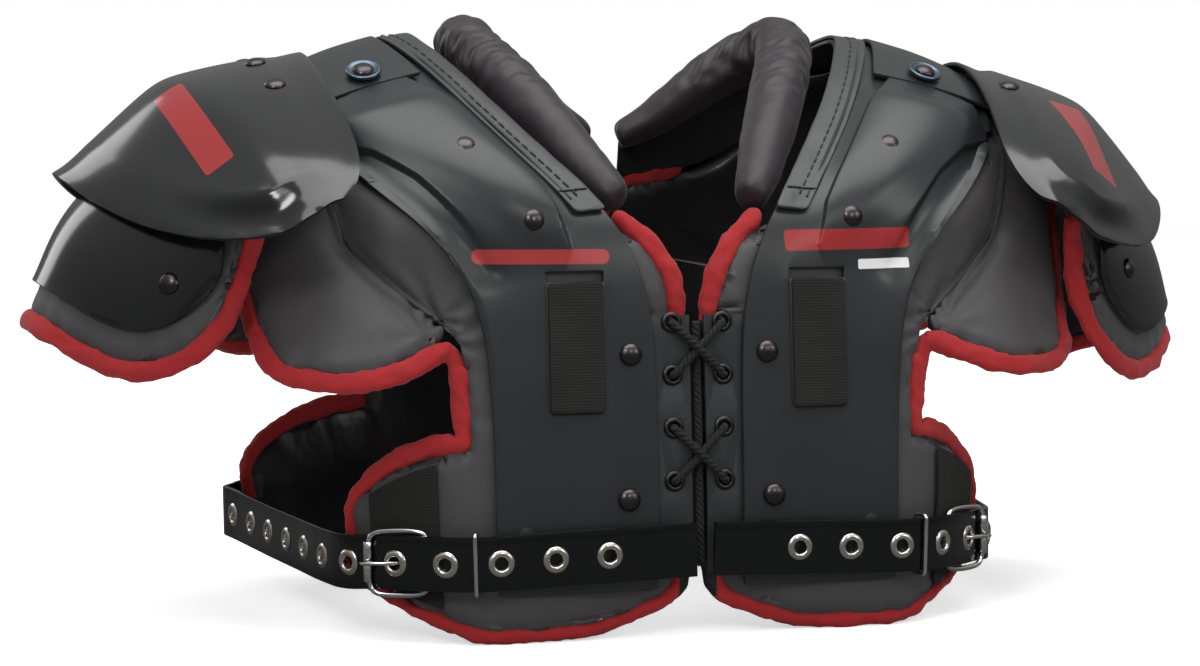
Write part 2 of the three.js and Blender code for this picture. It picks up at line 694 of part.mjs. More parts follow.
// The grid of a body pad. Row 0 is the hem. The side part has its own columns past the armhole and
// ends where the notch for the arm begins.
function padGrid(pad, upperStops) {
  const at = (i, j) => {
    if (i >= HEM_ROWS.length) {
      const u = upperStops[i - HEM_ROWS.length];
      return [u, lerp(padInner(u), padOuter(u), MAIN_COLUMNS[Math.min(j, LAST_MAIN)])];
    }
    const v =
      j <= LAST_MAIN
        ? lerp(padInner(pad.sideTop), ARMHOLE, MAIN_COLUMNS[j])
        : lerp(ARMHOLE, pad.sideEnd, SIDE_COLUMNS[j - LAST_MAIN - 1]);
    return [lerp(...sideSpan(pad, v), HEM_ROWS[i]), v];
  };
  const rows = HEM_ROWS.length + upperStops.length - 1;
  const keep = (i, j) => j < LAST_MAIN || i < HEM_ROWS.length - 1;
  return { pad, rows, columns: LAST_SIDE, at, keep, upperStops };
}

const FRONT_STOPS = [2, 2.35, 2.65, 3, 3.3, 3.7, 4.3, 4.8, 5.3, 5.8, 6.4, 7, 7.45, 8.1, 8.7, 9.05];
const BACK_STOPS = [15, 14.6, 14.2, 13.85, 13.6, 13.3, 13, 12.4, 11.8, 11.3, 10.8, 10, 9.5, 9.15];
const frontGrid = padGrid(FRONT_PAD, FRONT_STOPS);
const backGrid = padGrid(BACK_PAD, BACK_STOPS);

function bodyPad({ rows, columns, at, keep }) {
  const inside = (i, j) => i >= 0 && j >= 0 && i < rows && j < columns && keep(i, j);
  const onRim = (i, j) =>
    !(inside(i, j) && inside(i - 1, j) && inside(i, j - 1) && inside(i - 1, j - 1));
  return sheetSolid(
    rows,
    columns,
    (i, j) => {
      const outer = padFace(...at(i, j));
      const wall = onRim(i, j) ? PAD_EDGE : PAD_WALL;
      return [outer, outer.clone().addScaledVector(padNormal(...at(i, j)), -wall)];
    },
    keep,
  );
}

// Shoulder pad: sewn to the body pads along one edge, with a lobe that hangs at the front and back

const lobeRows = mirroredRows(LOBE_SECTIONS, ["middle", "outer"]);
const lobeMiddle = columnCurve(lobeRows.map(({ middle }) => middle));
const lobeOuter = columnCurve(lobeRows.map(({ outer }) => outer));
const lobeSeams = [
  ...LOBE_SECTIONS.map(({ seamFront }) => seamFront),
  ...LOBE_SECTIONS.slice(0, -1).reverse().map(({ seamBack }) => seamBack),
];
const lobeLast = lobeSeams.length - 1;

// The section of the arch where a row of the shoulder pad is sewn on.
function seamSection(row) {
  const at = THREE.MathUtils.clamp(row, 0, lobeLast);
  const from = Math.min(Math.floor(at), lobeLast - 1);
  return lerp(lobeSeams[from], lobeSeams[from + 1], at - from);
}

// A place on the seam, just outside the edge of the body pad.
function seamPoint(u) {
  const edgeAt = (section) => padFace(section, padOuter(section));
  const along = edgeAt(u + 0.03).sub(edgeAt(u - 0.03));
  const outwards = along.cross(padNormal(u, padOuter(u))).normalize();
  return edgeAt(u).addScaledVector(outwards, SEAM);
}

function lobeFace(row, v) {
  const seam = seamPoint(seamSection(row));
  return columnCurve([seam, lobeMiddle(row), lobeOuter(row)])(v * 2);
}

function lobeNormal(row, v) {
  const u = seamSection(row);
  if (v === 0 && row > 0 && row < lobeLast) return padNormal(u, padOuter(u));
  return normalOf(lobeFace, THREE.MathUtils.clamp(row, 0.02, lobeLast - 0.02), v);
}

// The row of the shoulder pad that is sewn on at a section.
function rowAtSection(section) {
  const next = lobeSeams.findIndex((seam) => seam >= section);
  if (next <= 0) return 0;
  return next - 1 + (section - lobeSeams[next - 1]) / (lobeSeams[next] - lobeSeams[next - 1]);
}

// Its rows meet the rows of the body pads, with one more on each rounded lobe.
const LOBE_STOPS = [
  ...[...FRONT_STOPS, ...BACK_STOPS]
    .filter((u) => u >= lobeSeams[0] && u <= lobeSeams[lobeLast])
    .map(rowAtSection),
  0.5,
  lobeLast - 0.5,
].sort((a, b) => a - b);
const LOBE_COLUMNS = [0, 0.25, 0.5, 0.75, 1];

function shoulderPad() {
  const last = LOBE_STOPS.length - 1;
  return sheetSolid(last, LOBE_COLUMNS.length - 1, (i, j) => {
    const [row, v] = [LOBE_STOPS[i], LOBE_COLUMNS[j]];
    const onEdge = i === 0 || i === last || j === 0 || j === LOBE_COLUMNS.length - 1;
    const wall = onEdge ? PAD_EDGE : LOBE_WALL;
    const outer = lobeFace(row, v);
    return [outer, outer.clone().addScaledVector(lobeNormal(row, v), -wall)];
  });
}

// Piping: a folded tape round the free edges of the pads

// The tape lies just outside an edge of a pad. edge is a list of { point, normal, width }: a point
// on the outer face, the outward normal and how wide the tape is there. side turns it outwards.
function pipingAlong(edge, side, thickness) {
  const last = edge.length - 1;
  const stations = edge.map(({ point, normal, width }, i) => {
    const [before, after] = [edge[Math.max(i - 1, 0)], edge[Math.min(i + 1, last)]];
    const tangent = after.point.clone().sub(before.point).normalize();
    const across = tangent.clone().cross(normal).normalize().multiplyScalar(side);
    const out = across.clone().cross(tangent).normalize().multiplyScalar(side);
    const centre = point
      .clone()
      .addScaledVector(across, width / 2 + PIPING_GAP)
      .addScaledVector(out, -thickness / 2);
    return { centre, across, out };
  });
  return sweepSolid(stations, (i) => {
    const [w, t] = [edge[i].width / 2, thickness / 2];
    return [[w, t * 0.4], [w * 0.4, t], [-w, t], [-w, -t], [w * 0.4, -t], [w, -t * 0.4]];
  });
}

function bodyPiping({ pad, at, upperStops }, side) {
  const low = HEM_ROWS.length;
  const isFront = pad === FRONT_PAD;
  const neckCount = upperStops.filter((u) => (isFront ? u <= 4.8 : u >= 13)).length;
  const notchCount = upperStops.filter((u) => Math.abs(u - pad.sideTop) < 1.1).length;
  const upTo = (count) => Array.from({ length: count }, (_, k) => k);
  const corners = [
    ...upTo(low + neckCount).reverse().map((i) => ({ i, j: 0, width: PIPING_WIDTH })),
    ...upTo(LAST_SIDE).map((k) => ({ i: 0, j: k + 1, width: HEM_PIPING_WIDTH })),
    ...upTo(low - 1).map((k) => ({ i: k + 1, j: LAST_SIDE, width: HEM_PIPING_WIDTH })),
    ...upTo(SIDE_COLUMNS.length).map((k) => ({ i: low - 1, j: LAST_SIDE - 1 - k, width: PIPING_WIDTH })),
    ...upTo(notchCount).map((k) => ({ i: low + k, j: LAST_MAIN, width: PIPING_WIDTH })),
  ];
  const edge = corners.map(({ i, j, width }) => ({
    point: padFace(...at(i, j)),
    normal: padNormal(...at(i, j)),
    width,
  }));
  return pipingAlong(edge, side, PAD_EDGE);
}

// The tape round a pad with two ends and a rim: down one end, along the rim and up the other end.
function rimPiping(face, normal, rows, ends, thickness) {
  const last = rows.length - 1;
  const stops = [
    ...ends.map((v) => [rows[0], v]),
    ...rows.slice(1, -1).map((row) => [row, 1]),
    ...ends.slice().reverse().map((v) => [rows[last], v]),
  ];
  const edge = stops.map(([row, v]) => ({
    point: face(row, v),
    normal: normal(row, v),
    width: PIPING_WIDTH,
  }));
  return pipingAlong(edge, 1, thickness);
}

const lobePiping = () => rimPiping(lobeFace, lobeNormal, LOBE_STOPS, LOBE_COLUMNS, PAD_EDGE);

function capPiping() {
  const ends = [0.25, 0.5, 0.72, 0.86, 1];
  return rimPiping(capPadFace, (u, v) => normalOf(capPadFace, u, v), capPadRows, ends, CAP_PAD_EDGE);
}

// Neck roll

function collarRoll() {
  const centres = ROLL_SECTIONS.map(({ centre }) => sized(centre));
  const curve = columnCurve(centres);
  const last = ROLL_SECTIONS.length - 1;
  const stops = spread(0, last, 16);
  const points = stops.map((stop) => curve(stop));
  const girthAt = (stop) => {
    const from = Math.min(Math.floor(stop), last - 1);
    return lerp(ROLL_SECTIONS[from].girth, ROLL_SECTIONS[from + 1].girth, stop - from);
  };
  const neck = new THREE.Vector3(0, 0.1 * DEPTH, RISE);
  const stations = stationsAlong(points, (i) => neck.clone().sub(points[i]).setZ(0).normalize());
  return sweepSolid(stations, (i) => roundSection(ROLL_RADIUS * girthAt(stops[i]), 10));
}

// Lace tabs and laces

const LACE_FRONT = [0.254, 0.34, 0.425, 0.511]; // heights of the holes as shares of RISE
const LACE_BACK = [0.22, 0.345, 0.47, 0.595];
const tabSink = SHELL_WALL + CLEARANCE;

function tabFace(u, v) {
  return arch(u, v).addScaledVector(padNormal(u, v), -tabSink);
}

// The place on the tab at a height above the floor, at a distance from the centre line.
function onTab(height, x, front) {
  const [from, to] = front ? [0, 5] : [LAST_SECTION, 12];
  let [low, high] = [from, to];
  for (let i = 0; i < 40; i++) {
    const middle = (low + high) / 2;
    if (tabFace(middle, acrossAt(middle, x)).z > height) high = middle;
    else low = middle;
  }
  return [low, acrossAt(low, x)];
}

function laceTab(front) {
  const top = front ? TAB.frontTop : TAB.backTop;
  const rows = front ? [TAB.bottom, 1, 2, 3, top] : [LAST_SECTION - TAB.bottom, 16, 15, 14.6, top];
  const tab = sheetSolid(rows.length - 1, 2, (i, j) => {
    const u = rows[i];
    const v = [acrossAt(u, TAB.centre), 0, TAB.hidden][j];
    const outer = tabFace(u, v);
    return [outer, outer.clone().addScaledVector(padNormal(u, v), -TAB_WALL)];
  });
  const drills = (front ? LACE_FRONT : LACE_BACK).map((height) => {
    const [u, v] = onTab(height * RISE, LACE_HOLE_X, front);
    const drill = new THREE.CylinderGeometry(LACE_HOLE_RADIUS, LACE_HOLE_RADIUS, TAB_WALL * 6, 10);
    const centre = tabFace(u, v);
    drill.translate(centre.x, centre.y, centre.z);
    return drill;
  });
  return subtract(tab, ...drills);
}

// A round cord through points, drawn with out towards the front or the back.
function cordAlong(points, steps, sides = 5) {
  const curve = new THREE.CatmullRomCurve3(points, false, "centripetal");
  const stops = curve.getSpacedPoints(steps);
  const outward = new THREE.Vector3(1, 0.3, 0.2).normalize();
  return sweepSolid(stationsAlong(stops, () => outward), () => roundSection(LACE_RADIUS, sides));
}

function crossedLace(front) {
  const face = front ? -1 : 1;
  const heights = (front ? LACE_FRONT : LACE_BACK).map((share) => share * RISE);
  const holeAt = (height, sideways) => {
    const [u, v] = onTab(height, LACE_HOLE_X, front);
    const point = tabFace(u, v);
    point.x *= sideways;
    return point;
  };
  const raised = (point, distance) => point.clone().add(new THREE.Vector3(0, face * distance, 0));
  const leg = (from, to, sideways, rise) => {
    const start = holeAt(from, sideways);
    const end = holeAt(to, -sideways);
    const middle = start.clone().lerp(end, 0.5);
    return cordAlong(
      [
        raised(start, -1.2),
        raised(start.clone().lerp(end, 0.02), 1.2),
        raised(start.clone().lerp(end, 0.16), LACE_RADIUS + 1.4),
        raised(middle, rise),
        raised(start.clone().lerp(end, 0.84), LACE_RADIUS + 1.4),
        raised(start.clone().lerp(end, 0.98), 1.2),
        raised(end, -1.2),
      ],
      9,
    );
  };
  const pairs = [[heights[0], heights[1]], [heights[2], heights[3]]];
  const legs = pairs.flatMap(([low, high]) => [
    leg(low, high, 1, LACE_RADIUS + 0.6),
    leg(low, high, -1, LACE_RADIUS * 2 + 0.8),
  ]);
  const runAt = (height) => {
    const point = holeAt(height, 1);
    return new THREE.Vector3(0, point.y + face * 0.6, height);
  };
  const bottom = heights[0] * 0.42;
  const run = cordAlong(spread(bottom, heights[3] * 0.98, 5).map(runAt), 6);
  return union(run, ...legs);
}

// Belt, buckle and webbing

const BELT_STAND = 2 * CLEARANCE + STRAP_WALL + BELT_WALL / 2; // shell to the middle of the belt
const UP = new THREE.Vector3(0, 0, 1);

// A place on the arch at a height and a share across, lifted off it by the belt's stand.
function beltOnArch(across, height, [from, to]) {
  const z = height * RISE;
  const u = sectionAtHeight(z, from, to);
  const outwards = normalOf(arch, u, across).setZ(0).normalize();
  return arch(u, across).addScaledVector(outwards, BELT_STAND).setZ(z);
}

const FRONT_RANGE = [0, 3];
const BACK_RANGE = [LAST_SECTION, 14];

function beltRun(places, stops, range) {
  const ordered = [...places].sort((a, b) => a.across - b.across);
  return stops.map((across) =>
    beltOnArch(across, eased(ordered, across, "across", "height"), range),
  );
}

const BELT_FRONT_STOPS = [-0.21, 0.3, 0.6, 0.9, 1, 1.1, 1.2, 1.33, 1.46, 1.6, 1.72, 1.84, 1.97];
const BELT_BACK_STOPS = [1.96, 1.85, 1.72, 1.6, 1.4, 1.2, 1, 0.7, 0.35];
const beltCurve = new THREE.CatmullRomCurve3(
  [
    ...beltRun(BELT_FRONT, BELT_FRONT_STOPS, FRONT_RANGE),
    ...BELT_SPAN.map(({ at }) => sized(at)),
    ...beltRun(BELT_BACK, BELT_BACK_STOPS, BACK_RANGE),
  ],
  false,
  "centripetal",
);
const beltLength = beltCurve.getLength();

// A place along the belt: its middle, its direction and the way out.
function beltAt(distance) {
  const share = THREE.MathUtils.clamp(distance / beltLength, 0, 1);
  const centre = beltCurve.getPointAt(share);
  const along = beltCurve.getTangentAt(share).normalize();
  return { centre, along, out: along.clone().cross(UP).normalize() };
}

// The distance along the belt of a named place in its front table.
function beltDistance(name) {
  const { across, height } = BELT_FRONT.find((place) => place.name === name);
  const target = beltOnArch(across, height, FRONT_RANGE);
  const samples = spread(0, beltLength / 2, 600);
  return samples.reduce((best, d) =>
    beltAt(d).centre.distanceTo(target) < beltAt(best).centre.distanceTo(target) ? d : best,
  );
}

function strapAlong(distances, width, wall, raise = 0) {
  const [w, t] = [width / 2, wall / 2];
  const stations = distances.map((distance) => {
    const { centre, along, out } = beltAt(distance);
    const across = out.clone().cross(along).normalize();
    return { centre: centre.clone().addScaledVector(out, raise), across, out };
  });
  return sweepSolid(stations, () => [[w, t], [-w, t], [-w, -t], [w, -t]]);
}

const hingeDistance = beltDistance("hinge bar");
const farDistance = beltDistance("far bar");
const holeInFrame = lerp(hingeDistance, farDistance, 0.55);
const FRONT_HOLES = 4;
const BACK_HOLES = 7;
const holeDistances = spread(-FRONT_HOLES, BACK_HOLES, FRONT_HOLES + BACK_HOLES).map(
  (count) => holeInFrame + count * HOLE_PITCH,
);

function placeOn(geometry, { centre, along, out }) {
  const across = out.clone().cross(along).normalize();
  geometry.applyMatrix4(new THREE.Matrix4().makeBasis(along, across, out).setPosition(centre));
  return geometry;
}

// Where the belt's faces change length: they are short where it bends round the side.
const BELT_STOPS = { chest: 45, bend: 85, back: 162, loose: 178 };

function belt() {
  const { chest, bend, back, loose } = BELT_STOPS;
  const edges = [0, chest, ...spread(bend, back, 11), lerp(back, loose, 0.5)];
  const rest = spread(loose, beltLength, 14);
  const strap = strapAlong([...edges, ...rest], BELT_WIDTH, BELT_WALL);
  const drills = holeDistances.map((distance) => {
    const drill = new THREE.CylinderGeometry(HOLE_RADIUS, HOLE_RADIUS, BELT_WALL * 3, 8);
    drill.rotateX(Math.PI / 2);
    return placeOn(drill, beltAt(distance));
  });
  return subtract(strap, ...drills);
}

// The buckle frame has its far bar over the belt and its hinge bar under it.
const FRAME = { height: BELT_WIDTH + 2 * FRAME_PLAY + WIRE, corner: 6 };

function buckleBasis() {
  const clear = BELT_WALL / 2 + WIRE / 2 + CLEARANCE;
  const hinge = beltAt(hingeDistance);
  const far = beltAt(farDistance);
  const hingeBar = hinge.centre.clone().addScaledVector(hinge.out, -clear);
  const farBar = far.centre.clone().addScaledVector(far.out, clear);
  const along = farBar.clone().sub(hingeBar).normalize();
  const out = along.clone().cross(UP).normalize();
  return { centre: hingeBar.clone().lerp(farBar, 0.5), along, out, hingeBar, farBar };
}

function roundedLoop(length, height, corner, perCorner) {
  const [l, h] = [length / 2 - corner, height / 2 - corner];
  const centres = [[l, h], [-l, h], [-l, -h], [l, -h]];
  return centres.flatMap(([x, y], quarter) =>
    spread(0, 1, perCorner).map((t) => {
      const angle = (quarter + t) * (Math.PI / 2);
      return new THREE.Vector3(x + corner * Math.cos(angle), y + corner * Math.sin(angle), 0);
    }),
  );
}

// A closed loop of wire in the plane that a direction is square to.
function wireLoop(points, wire, square) {
  const stations = stationsAlong(points, () => square, true);
  return sweepSolid(stations, () => roundSection(wire / 2, 6), true);
}

function buckleFrame() {
  const basis = buckleBasis();
  const length = basis.hingeBar.distanceTo(basis.farBar);
  const square = new THREE.Vector3(0, 0, 1);
  const loop = wireLoop(roundedLoop(length, FRAME.height, FRAME.corner, 2), WIRE, square);
  return placeOn(loop, basis);
}

// The prong runs under the belt from the hinge bar, comes up through a hole and lies on the far bar.
function buckleProng() {
  const under = BELT_WALL / 2 + PRONG_WIRE / 2 + CLEARANCE;
  const onBar = BELT_WALL / 2 + CLEARANCE + WIRE + CLEARANCE + PRONG_WIRE / 2;
  const route = [
    { distance: hingeDistance + WIRE / 2 + CLEARANCE + PRONG_WIRE / 2, out: -under },
    { distance: holeInFrame - 3, out: -under },
    { distance: holeInFrame, out: 0 },
    { distance: holeInFrame + 2.6, out: under },
    { distance: farDistance, out: onBar },
    { distance: farDistance + WIRE * 0.8, out: onBar },
  ];
  const points = route.map(({ distance, out }) => {
    const place = beltAt(distance);
    return place.centre.clone().addScaledVector(place.out, out);
  });
  return sweepSolid(stationsAlong(points, () => UP), () => roundSection(PRONG_WIRE / 2, 6));
}

const TAB_GAP = BELT_WALL / 2 + CLEARANCE; // from the middle of the belt to the tab under it

function beltKeeper() {
  const inside = BELT_WALL / 2 + CLEARANCE + KEEPER_WIRE / 2;
  const deep = TAB_GAP + STRAP_WALL + CLEARANCE + KEEPER_WIRE / 2;
  const half = BELT_WIDTH / 2 + CLEARANCE + KEEPER_WIRE / 2;
  const points = [[half, inside], [-half, inside], [-half, -deep], [half, -deep]].map(
    ([y, z]) => new THREE.Vector3(0, y, z),
  );
  return placeOn(wireLoop(points, KEEPER_WIRE, new THREE.Vector3(1, 0, 0)), beltAt(beltDistance("keeper")));
}

// The tab that holds the buckle lies under the belt, from its rivet to the hinge bar.
function buckleTab() {
  const start = beltDistance("shell edge") - HOLE_PITCH;
  const stops = spread(start, hingeDistance - WIRE, 10);
  return strapAlong(stops, BELT_WIDTH * 0.9, STRAP_WALL, -(TAB_GAP + STRAP_WALL / 2));
}

const SIDE_WEBBING = { middle: 1.68, half: 0.19 }; // across the arch

function sideWebbing() {
  const shares = spread(0.04, 0.96, 5);
  return sheetSolid(shares.length - 1, 2, (i, j) => {
    const v = SIDE_WEBBING.middle + (j - 1) * SIDE_WEBBING.half;
    const u = lerp(...sideSpan(FRONT_PAD, v), shares[i]);
    const outer = padFace(u, v).addScaledVector(padNormal(u, v), CLEARANCE + WEBBING_WALL);
    return [outer, outer.clone().addScaledVector(padNormal(u, v), -WEBBING_WALL)];
  });
}

function chestWebbing() {
  const top = SLOT.top * RISE - SLOT_HEIGHT / 2 + 0.5;
  const heights = spread(top - CHEST_WEBBING_LENGTH, top, 4);
  return sheetSolid(heights.length - 1, 1, (i, j) => {
    const u = sectionAtHeight(heights[i], 0, 6);
    const v = acrossAt(u, SLOT.x * REACH + (j - 0.5) * WEBBING_WIDTH);
    const normal = normalOf(arch, u, v);
    const outer = arch(u, v).addScaledVector(normal, CLEARANCE + WEBBING_WALL);
    return [outer, outer.clone().addScaledVector(normal, -WEBBING_WALL)];
  });
}

// Rivets

function rivetHead(radius, rise) {
  const profile = [[0, 0], [radius, 0], [radius * 0.86, rise * 0.62], [radius * 0.45, rise], [0, rise]];
  return new THREE.LatheGeometry(profile.map(([x, y]) => new THREE.Vector2(x, y)), 8);
}

function washerHead() {
  const radius = WASHER_RADIUS;
  const profile = [
    [0, 0], [radius, 0], [radius * 0.92, 1.2], [radius * 0.68, 1.2], [radius * 0.5, 2.6], [0, 3],
  ];
  return new THREE.LatheGeometry(profile.map(([x, y]) => new THREE.Vector2(x, y)), 10);
}

function seat(head, point, normal, lift) {
  const turn = new THREE.Quaternion().setFromUnitVectors(new THREE.Vector3(0, 1, 0), normal);
  const place = point.clone().addScaledVector(normal, lift);
  head.applyMatrix4(new THREE.Matrix4().makeRotationFromQuaternion(turn).setPosition(place));
  return head;
}

// Chest rivets: section and share across the arch.
const CHEST_RIVETS = [
  { name: "chest_rivet_low", section: 1.1, across: 0.19 },
  { name: "chest_rivet_high", section: 2.75, across: 0.16 },
  { name: "collarbone_rivet", section: 4.85, across: 0.45 },
  { name: "shoulder_rivet", section: 6.15, across: 0.47 },
];

const BRIDGE_RIVETS = [
  { name: "bridge_rivet_front", section: 7.95, across: 0.44 },
  { name: "bridge_rivet_back", section: 10.05, across: 0.44 },
];

// Assembly

const materials = Object.fromEntries(
  Object.entries(COLOURS).map(([name, values]) => [name, new THREE.MeshStandardMaterial(values)]),
);

const pads = new THREE.Group();

// Both sides are alike: the wearer's right side is the left one mirrored.
const MIRROR = new THREE.Matrix4().makeScale(-1, 1, 1);

function mirrored(geometry) {
  const copy = geometry.clone().applyMatrix4(MIRROR);
  const index = copy.index.array;
  for (let i = 0; i < index.length; i += 3) [index[i + 1], index[i + 2]] = [index[i + 2], index[i + 1]];
  return copy;
}

function addPiece(name, geometry, finish) {
  const mesh = new THREE.Mesh(geometry, materials[finish]);
  mesh.name = name;
  pads.add(mesh);
}

function addPair(name, geometry, finish) {
  addPiece(`${name}_left`, geometry, finish);
  addPiece(`${name}_right`, mirrored(geometry), finish);
}

// The pieces that hang on the bridge sit lower on the left side and higher on the right one.
function addArmPair(name, geometry, finish) {
  const hung = (degrees, lift) => {
    const copy = geometry.clone().translate(-HANG.x, 0, -HANG.z);
    copy.rotateY(THREE.MathUtils.degToRad(degrees));
    return copy.translate(HANG.x, 0, HANG.z + lift);
  };
  addPiece(`${name}_left`, hung(HANG.degrees, HANG.liftLeft), finish);
  addPiece(`${name}_right`, mirrored(hung(-HANG.degrees, HANG.liftRight)), finish);
}

addPair("arch_shell", archShell(), "shell");
addPair("neck_binding", neckBinding(), "vinyl");
addPair("bridge_strap", bridgeStrap(), "shell");
addArmPair("shoulder_flap", shoulderFlap(), "gloss");
addArmPair("shoulder_cap", shoulderCap(), "gloss");
addArmPair("cap_pad", capPad(), "padding");
addArmPair("cap_piping", capPiping(), "piping");
addPair("shoulder_pad", shoulderPad(), "padding");
addPair("shoulder_piping", lobePiping(), "piping");
addPair("front_pad", bodyPad(frontGrid), "padding");
addPair("front_piping", bodyPiping(frontGrid, 1), "piping");
addPair("back_pad", bodyPad(backGrid), "padding");
addPair("back_piping", bodyPiping(backGrid, -1), "piping");
addPair("collar_roll", collarRoll(), "lining");
addPair("front_lace_tab", laceTab(true), "vinyl");
addPair("back_lace_tab", laceTab(false), "vinyl");
addPair("chest_webbing", chestWebbing(), "webbing");
addPair("side_webbing", sideWebbing(), "webbing");
addPair("belt", belt(), "gloss");
addPair("buckle_tab", buckleTab(), "gloss");
addPair("buckle_frame", buckleFrame(), "chrome");
addPair("buckle_prong", buckleProng(), "chrome");
addPair("belt_keeper", beltKeeper(), "chrome");
addPiece("front_lace", crossedLace(true), "cord");
addPiece("back_lace", crossedLace(false), "cord");
for (const { name, section, across } of CHEST_RIVETS) {
  const surface = (u, v) => arch(u, v).addScaledVector(normalOf(arch, u, v), hump(u, v));
  const normal = normalOf(surface, section, across);
  const head = rivetHead(RIVET_RADIUS, RIVET_RISE);
  addPair(name, seat(head, surface(section, across), normal, CLEARANCE), "rivet");
}
for (const { name, section, across } of BRIDGE_RIVETS) {
  const normal = normalOf(bridgePoint, section, across);
  const lift = PAD_GAP + STRAP_WALL + CLEARANCE;
  addPair(name, seat(washerHead(), bridgePoint(section, across), normal, lift), "rivet");
}

// The origin is on the floor, under the middle of everything.
const bounds = new THREE.Box3().setFromObject(pads);
const middle = bounds.getCenter(new THREE.Vector3());
pads.position.set(-middle.x, -middle.y, -bounds.min.z);

export default pads;
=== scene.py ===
"""The looks of a set of football shoulder pads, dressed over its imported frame.

Metres, in the frame's own axes: +Z is up, the wearer faces -Y and +X is the
wearer's left side. Sizes are millimetres times MM. Tables of points and outlines
are in plain millimetres, and so is what a comment says is in MM.
"""

from __future__ import annotations

import json
import logging
import math
from collections.abc import Callable, Iterable, Sequence
from dataclasses import dataclass, field
from enum import Enum

import bmesh
import bpy
import numpy as np
from mathutils import Matrix, Vector, noise
from mathutils.bvhtree import BVHTree
from mathutils.kdtree import KDTree

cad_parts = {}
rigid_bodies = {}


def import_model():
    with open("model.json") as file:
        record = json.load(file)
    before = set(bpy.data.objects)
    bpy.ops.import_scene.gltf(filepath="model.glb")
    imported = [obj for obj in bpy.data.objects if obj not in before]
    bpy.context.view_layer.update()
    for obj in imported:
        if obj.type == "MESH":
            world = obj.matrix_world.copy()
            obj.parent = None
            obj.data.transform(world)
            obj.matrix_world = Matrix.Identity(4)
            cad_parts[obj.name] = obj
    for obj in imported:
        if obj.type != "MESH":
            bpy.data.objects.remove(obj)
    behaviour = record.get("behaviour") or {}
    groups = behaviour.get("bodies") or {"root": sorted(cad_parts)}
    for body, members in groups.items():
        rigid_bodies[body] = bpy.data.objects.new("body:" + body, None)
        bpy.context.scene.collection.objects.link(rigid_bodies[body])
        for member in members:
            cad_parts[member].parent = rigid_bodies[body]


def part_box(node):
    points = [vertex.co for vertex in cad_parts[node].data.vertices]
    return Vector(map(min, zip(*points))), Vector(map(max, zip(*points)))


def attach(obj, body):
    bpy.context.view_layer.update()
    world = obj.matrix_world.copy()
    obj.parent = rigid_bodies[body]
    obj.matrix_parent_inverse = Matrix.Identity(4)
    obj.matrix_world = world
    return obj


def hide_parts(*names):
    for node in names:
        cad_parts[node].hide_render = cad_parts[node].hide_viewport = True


LOG = logging.getLogger("shoulder_pads")
MM = 0.001
MIRROR_X = 2.893 * MM  # the plane between the two halves
Colour = tuple[float, float, float]
Point = tuple[float, float, float]
Spot = tuple[Vector, Vector]  # a place, and the way that it faces


class Side(Enum):
    """The wearer's two sides, with the sign of x on each."""

    LEFT = 1
    RIGHT = -1

    @property
    def word(self) -> str:
        """The side's name as the nodes spell it."""
        return self.name.lower()

    def place(self, point: Sequence[float]) -> Vector:
        """Puts a point of the left half, in millimetres, on this side, in metres."""
        x, y, z = point
        left = Vector((x, y, z)) * MM
        return Vector((MIRROR_X + (left.x - MIRROR_X) * self.value, left.y, left.z))


class Weave(Enum):
    """How a cloth's threads show."""

    TWILL = "twill"
    RIB = "rib"
    PLAIN = "plain"
    BRAID = "braid"


# Finishes


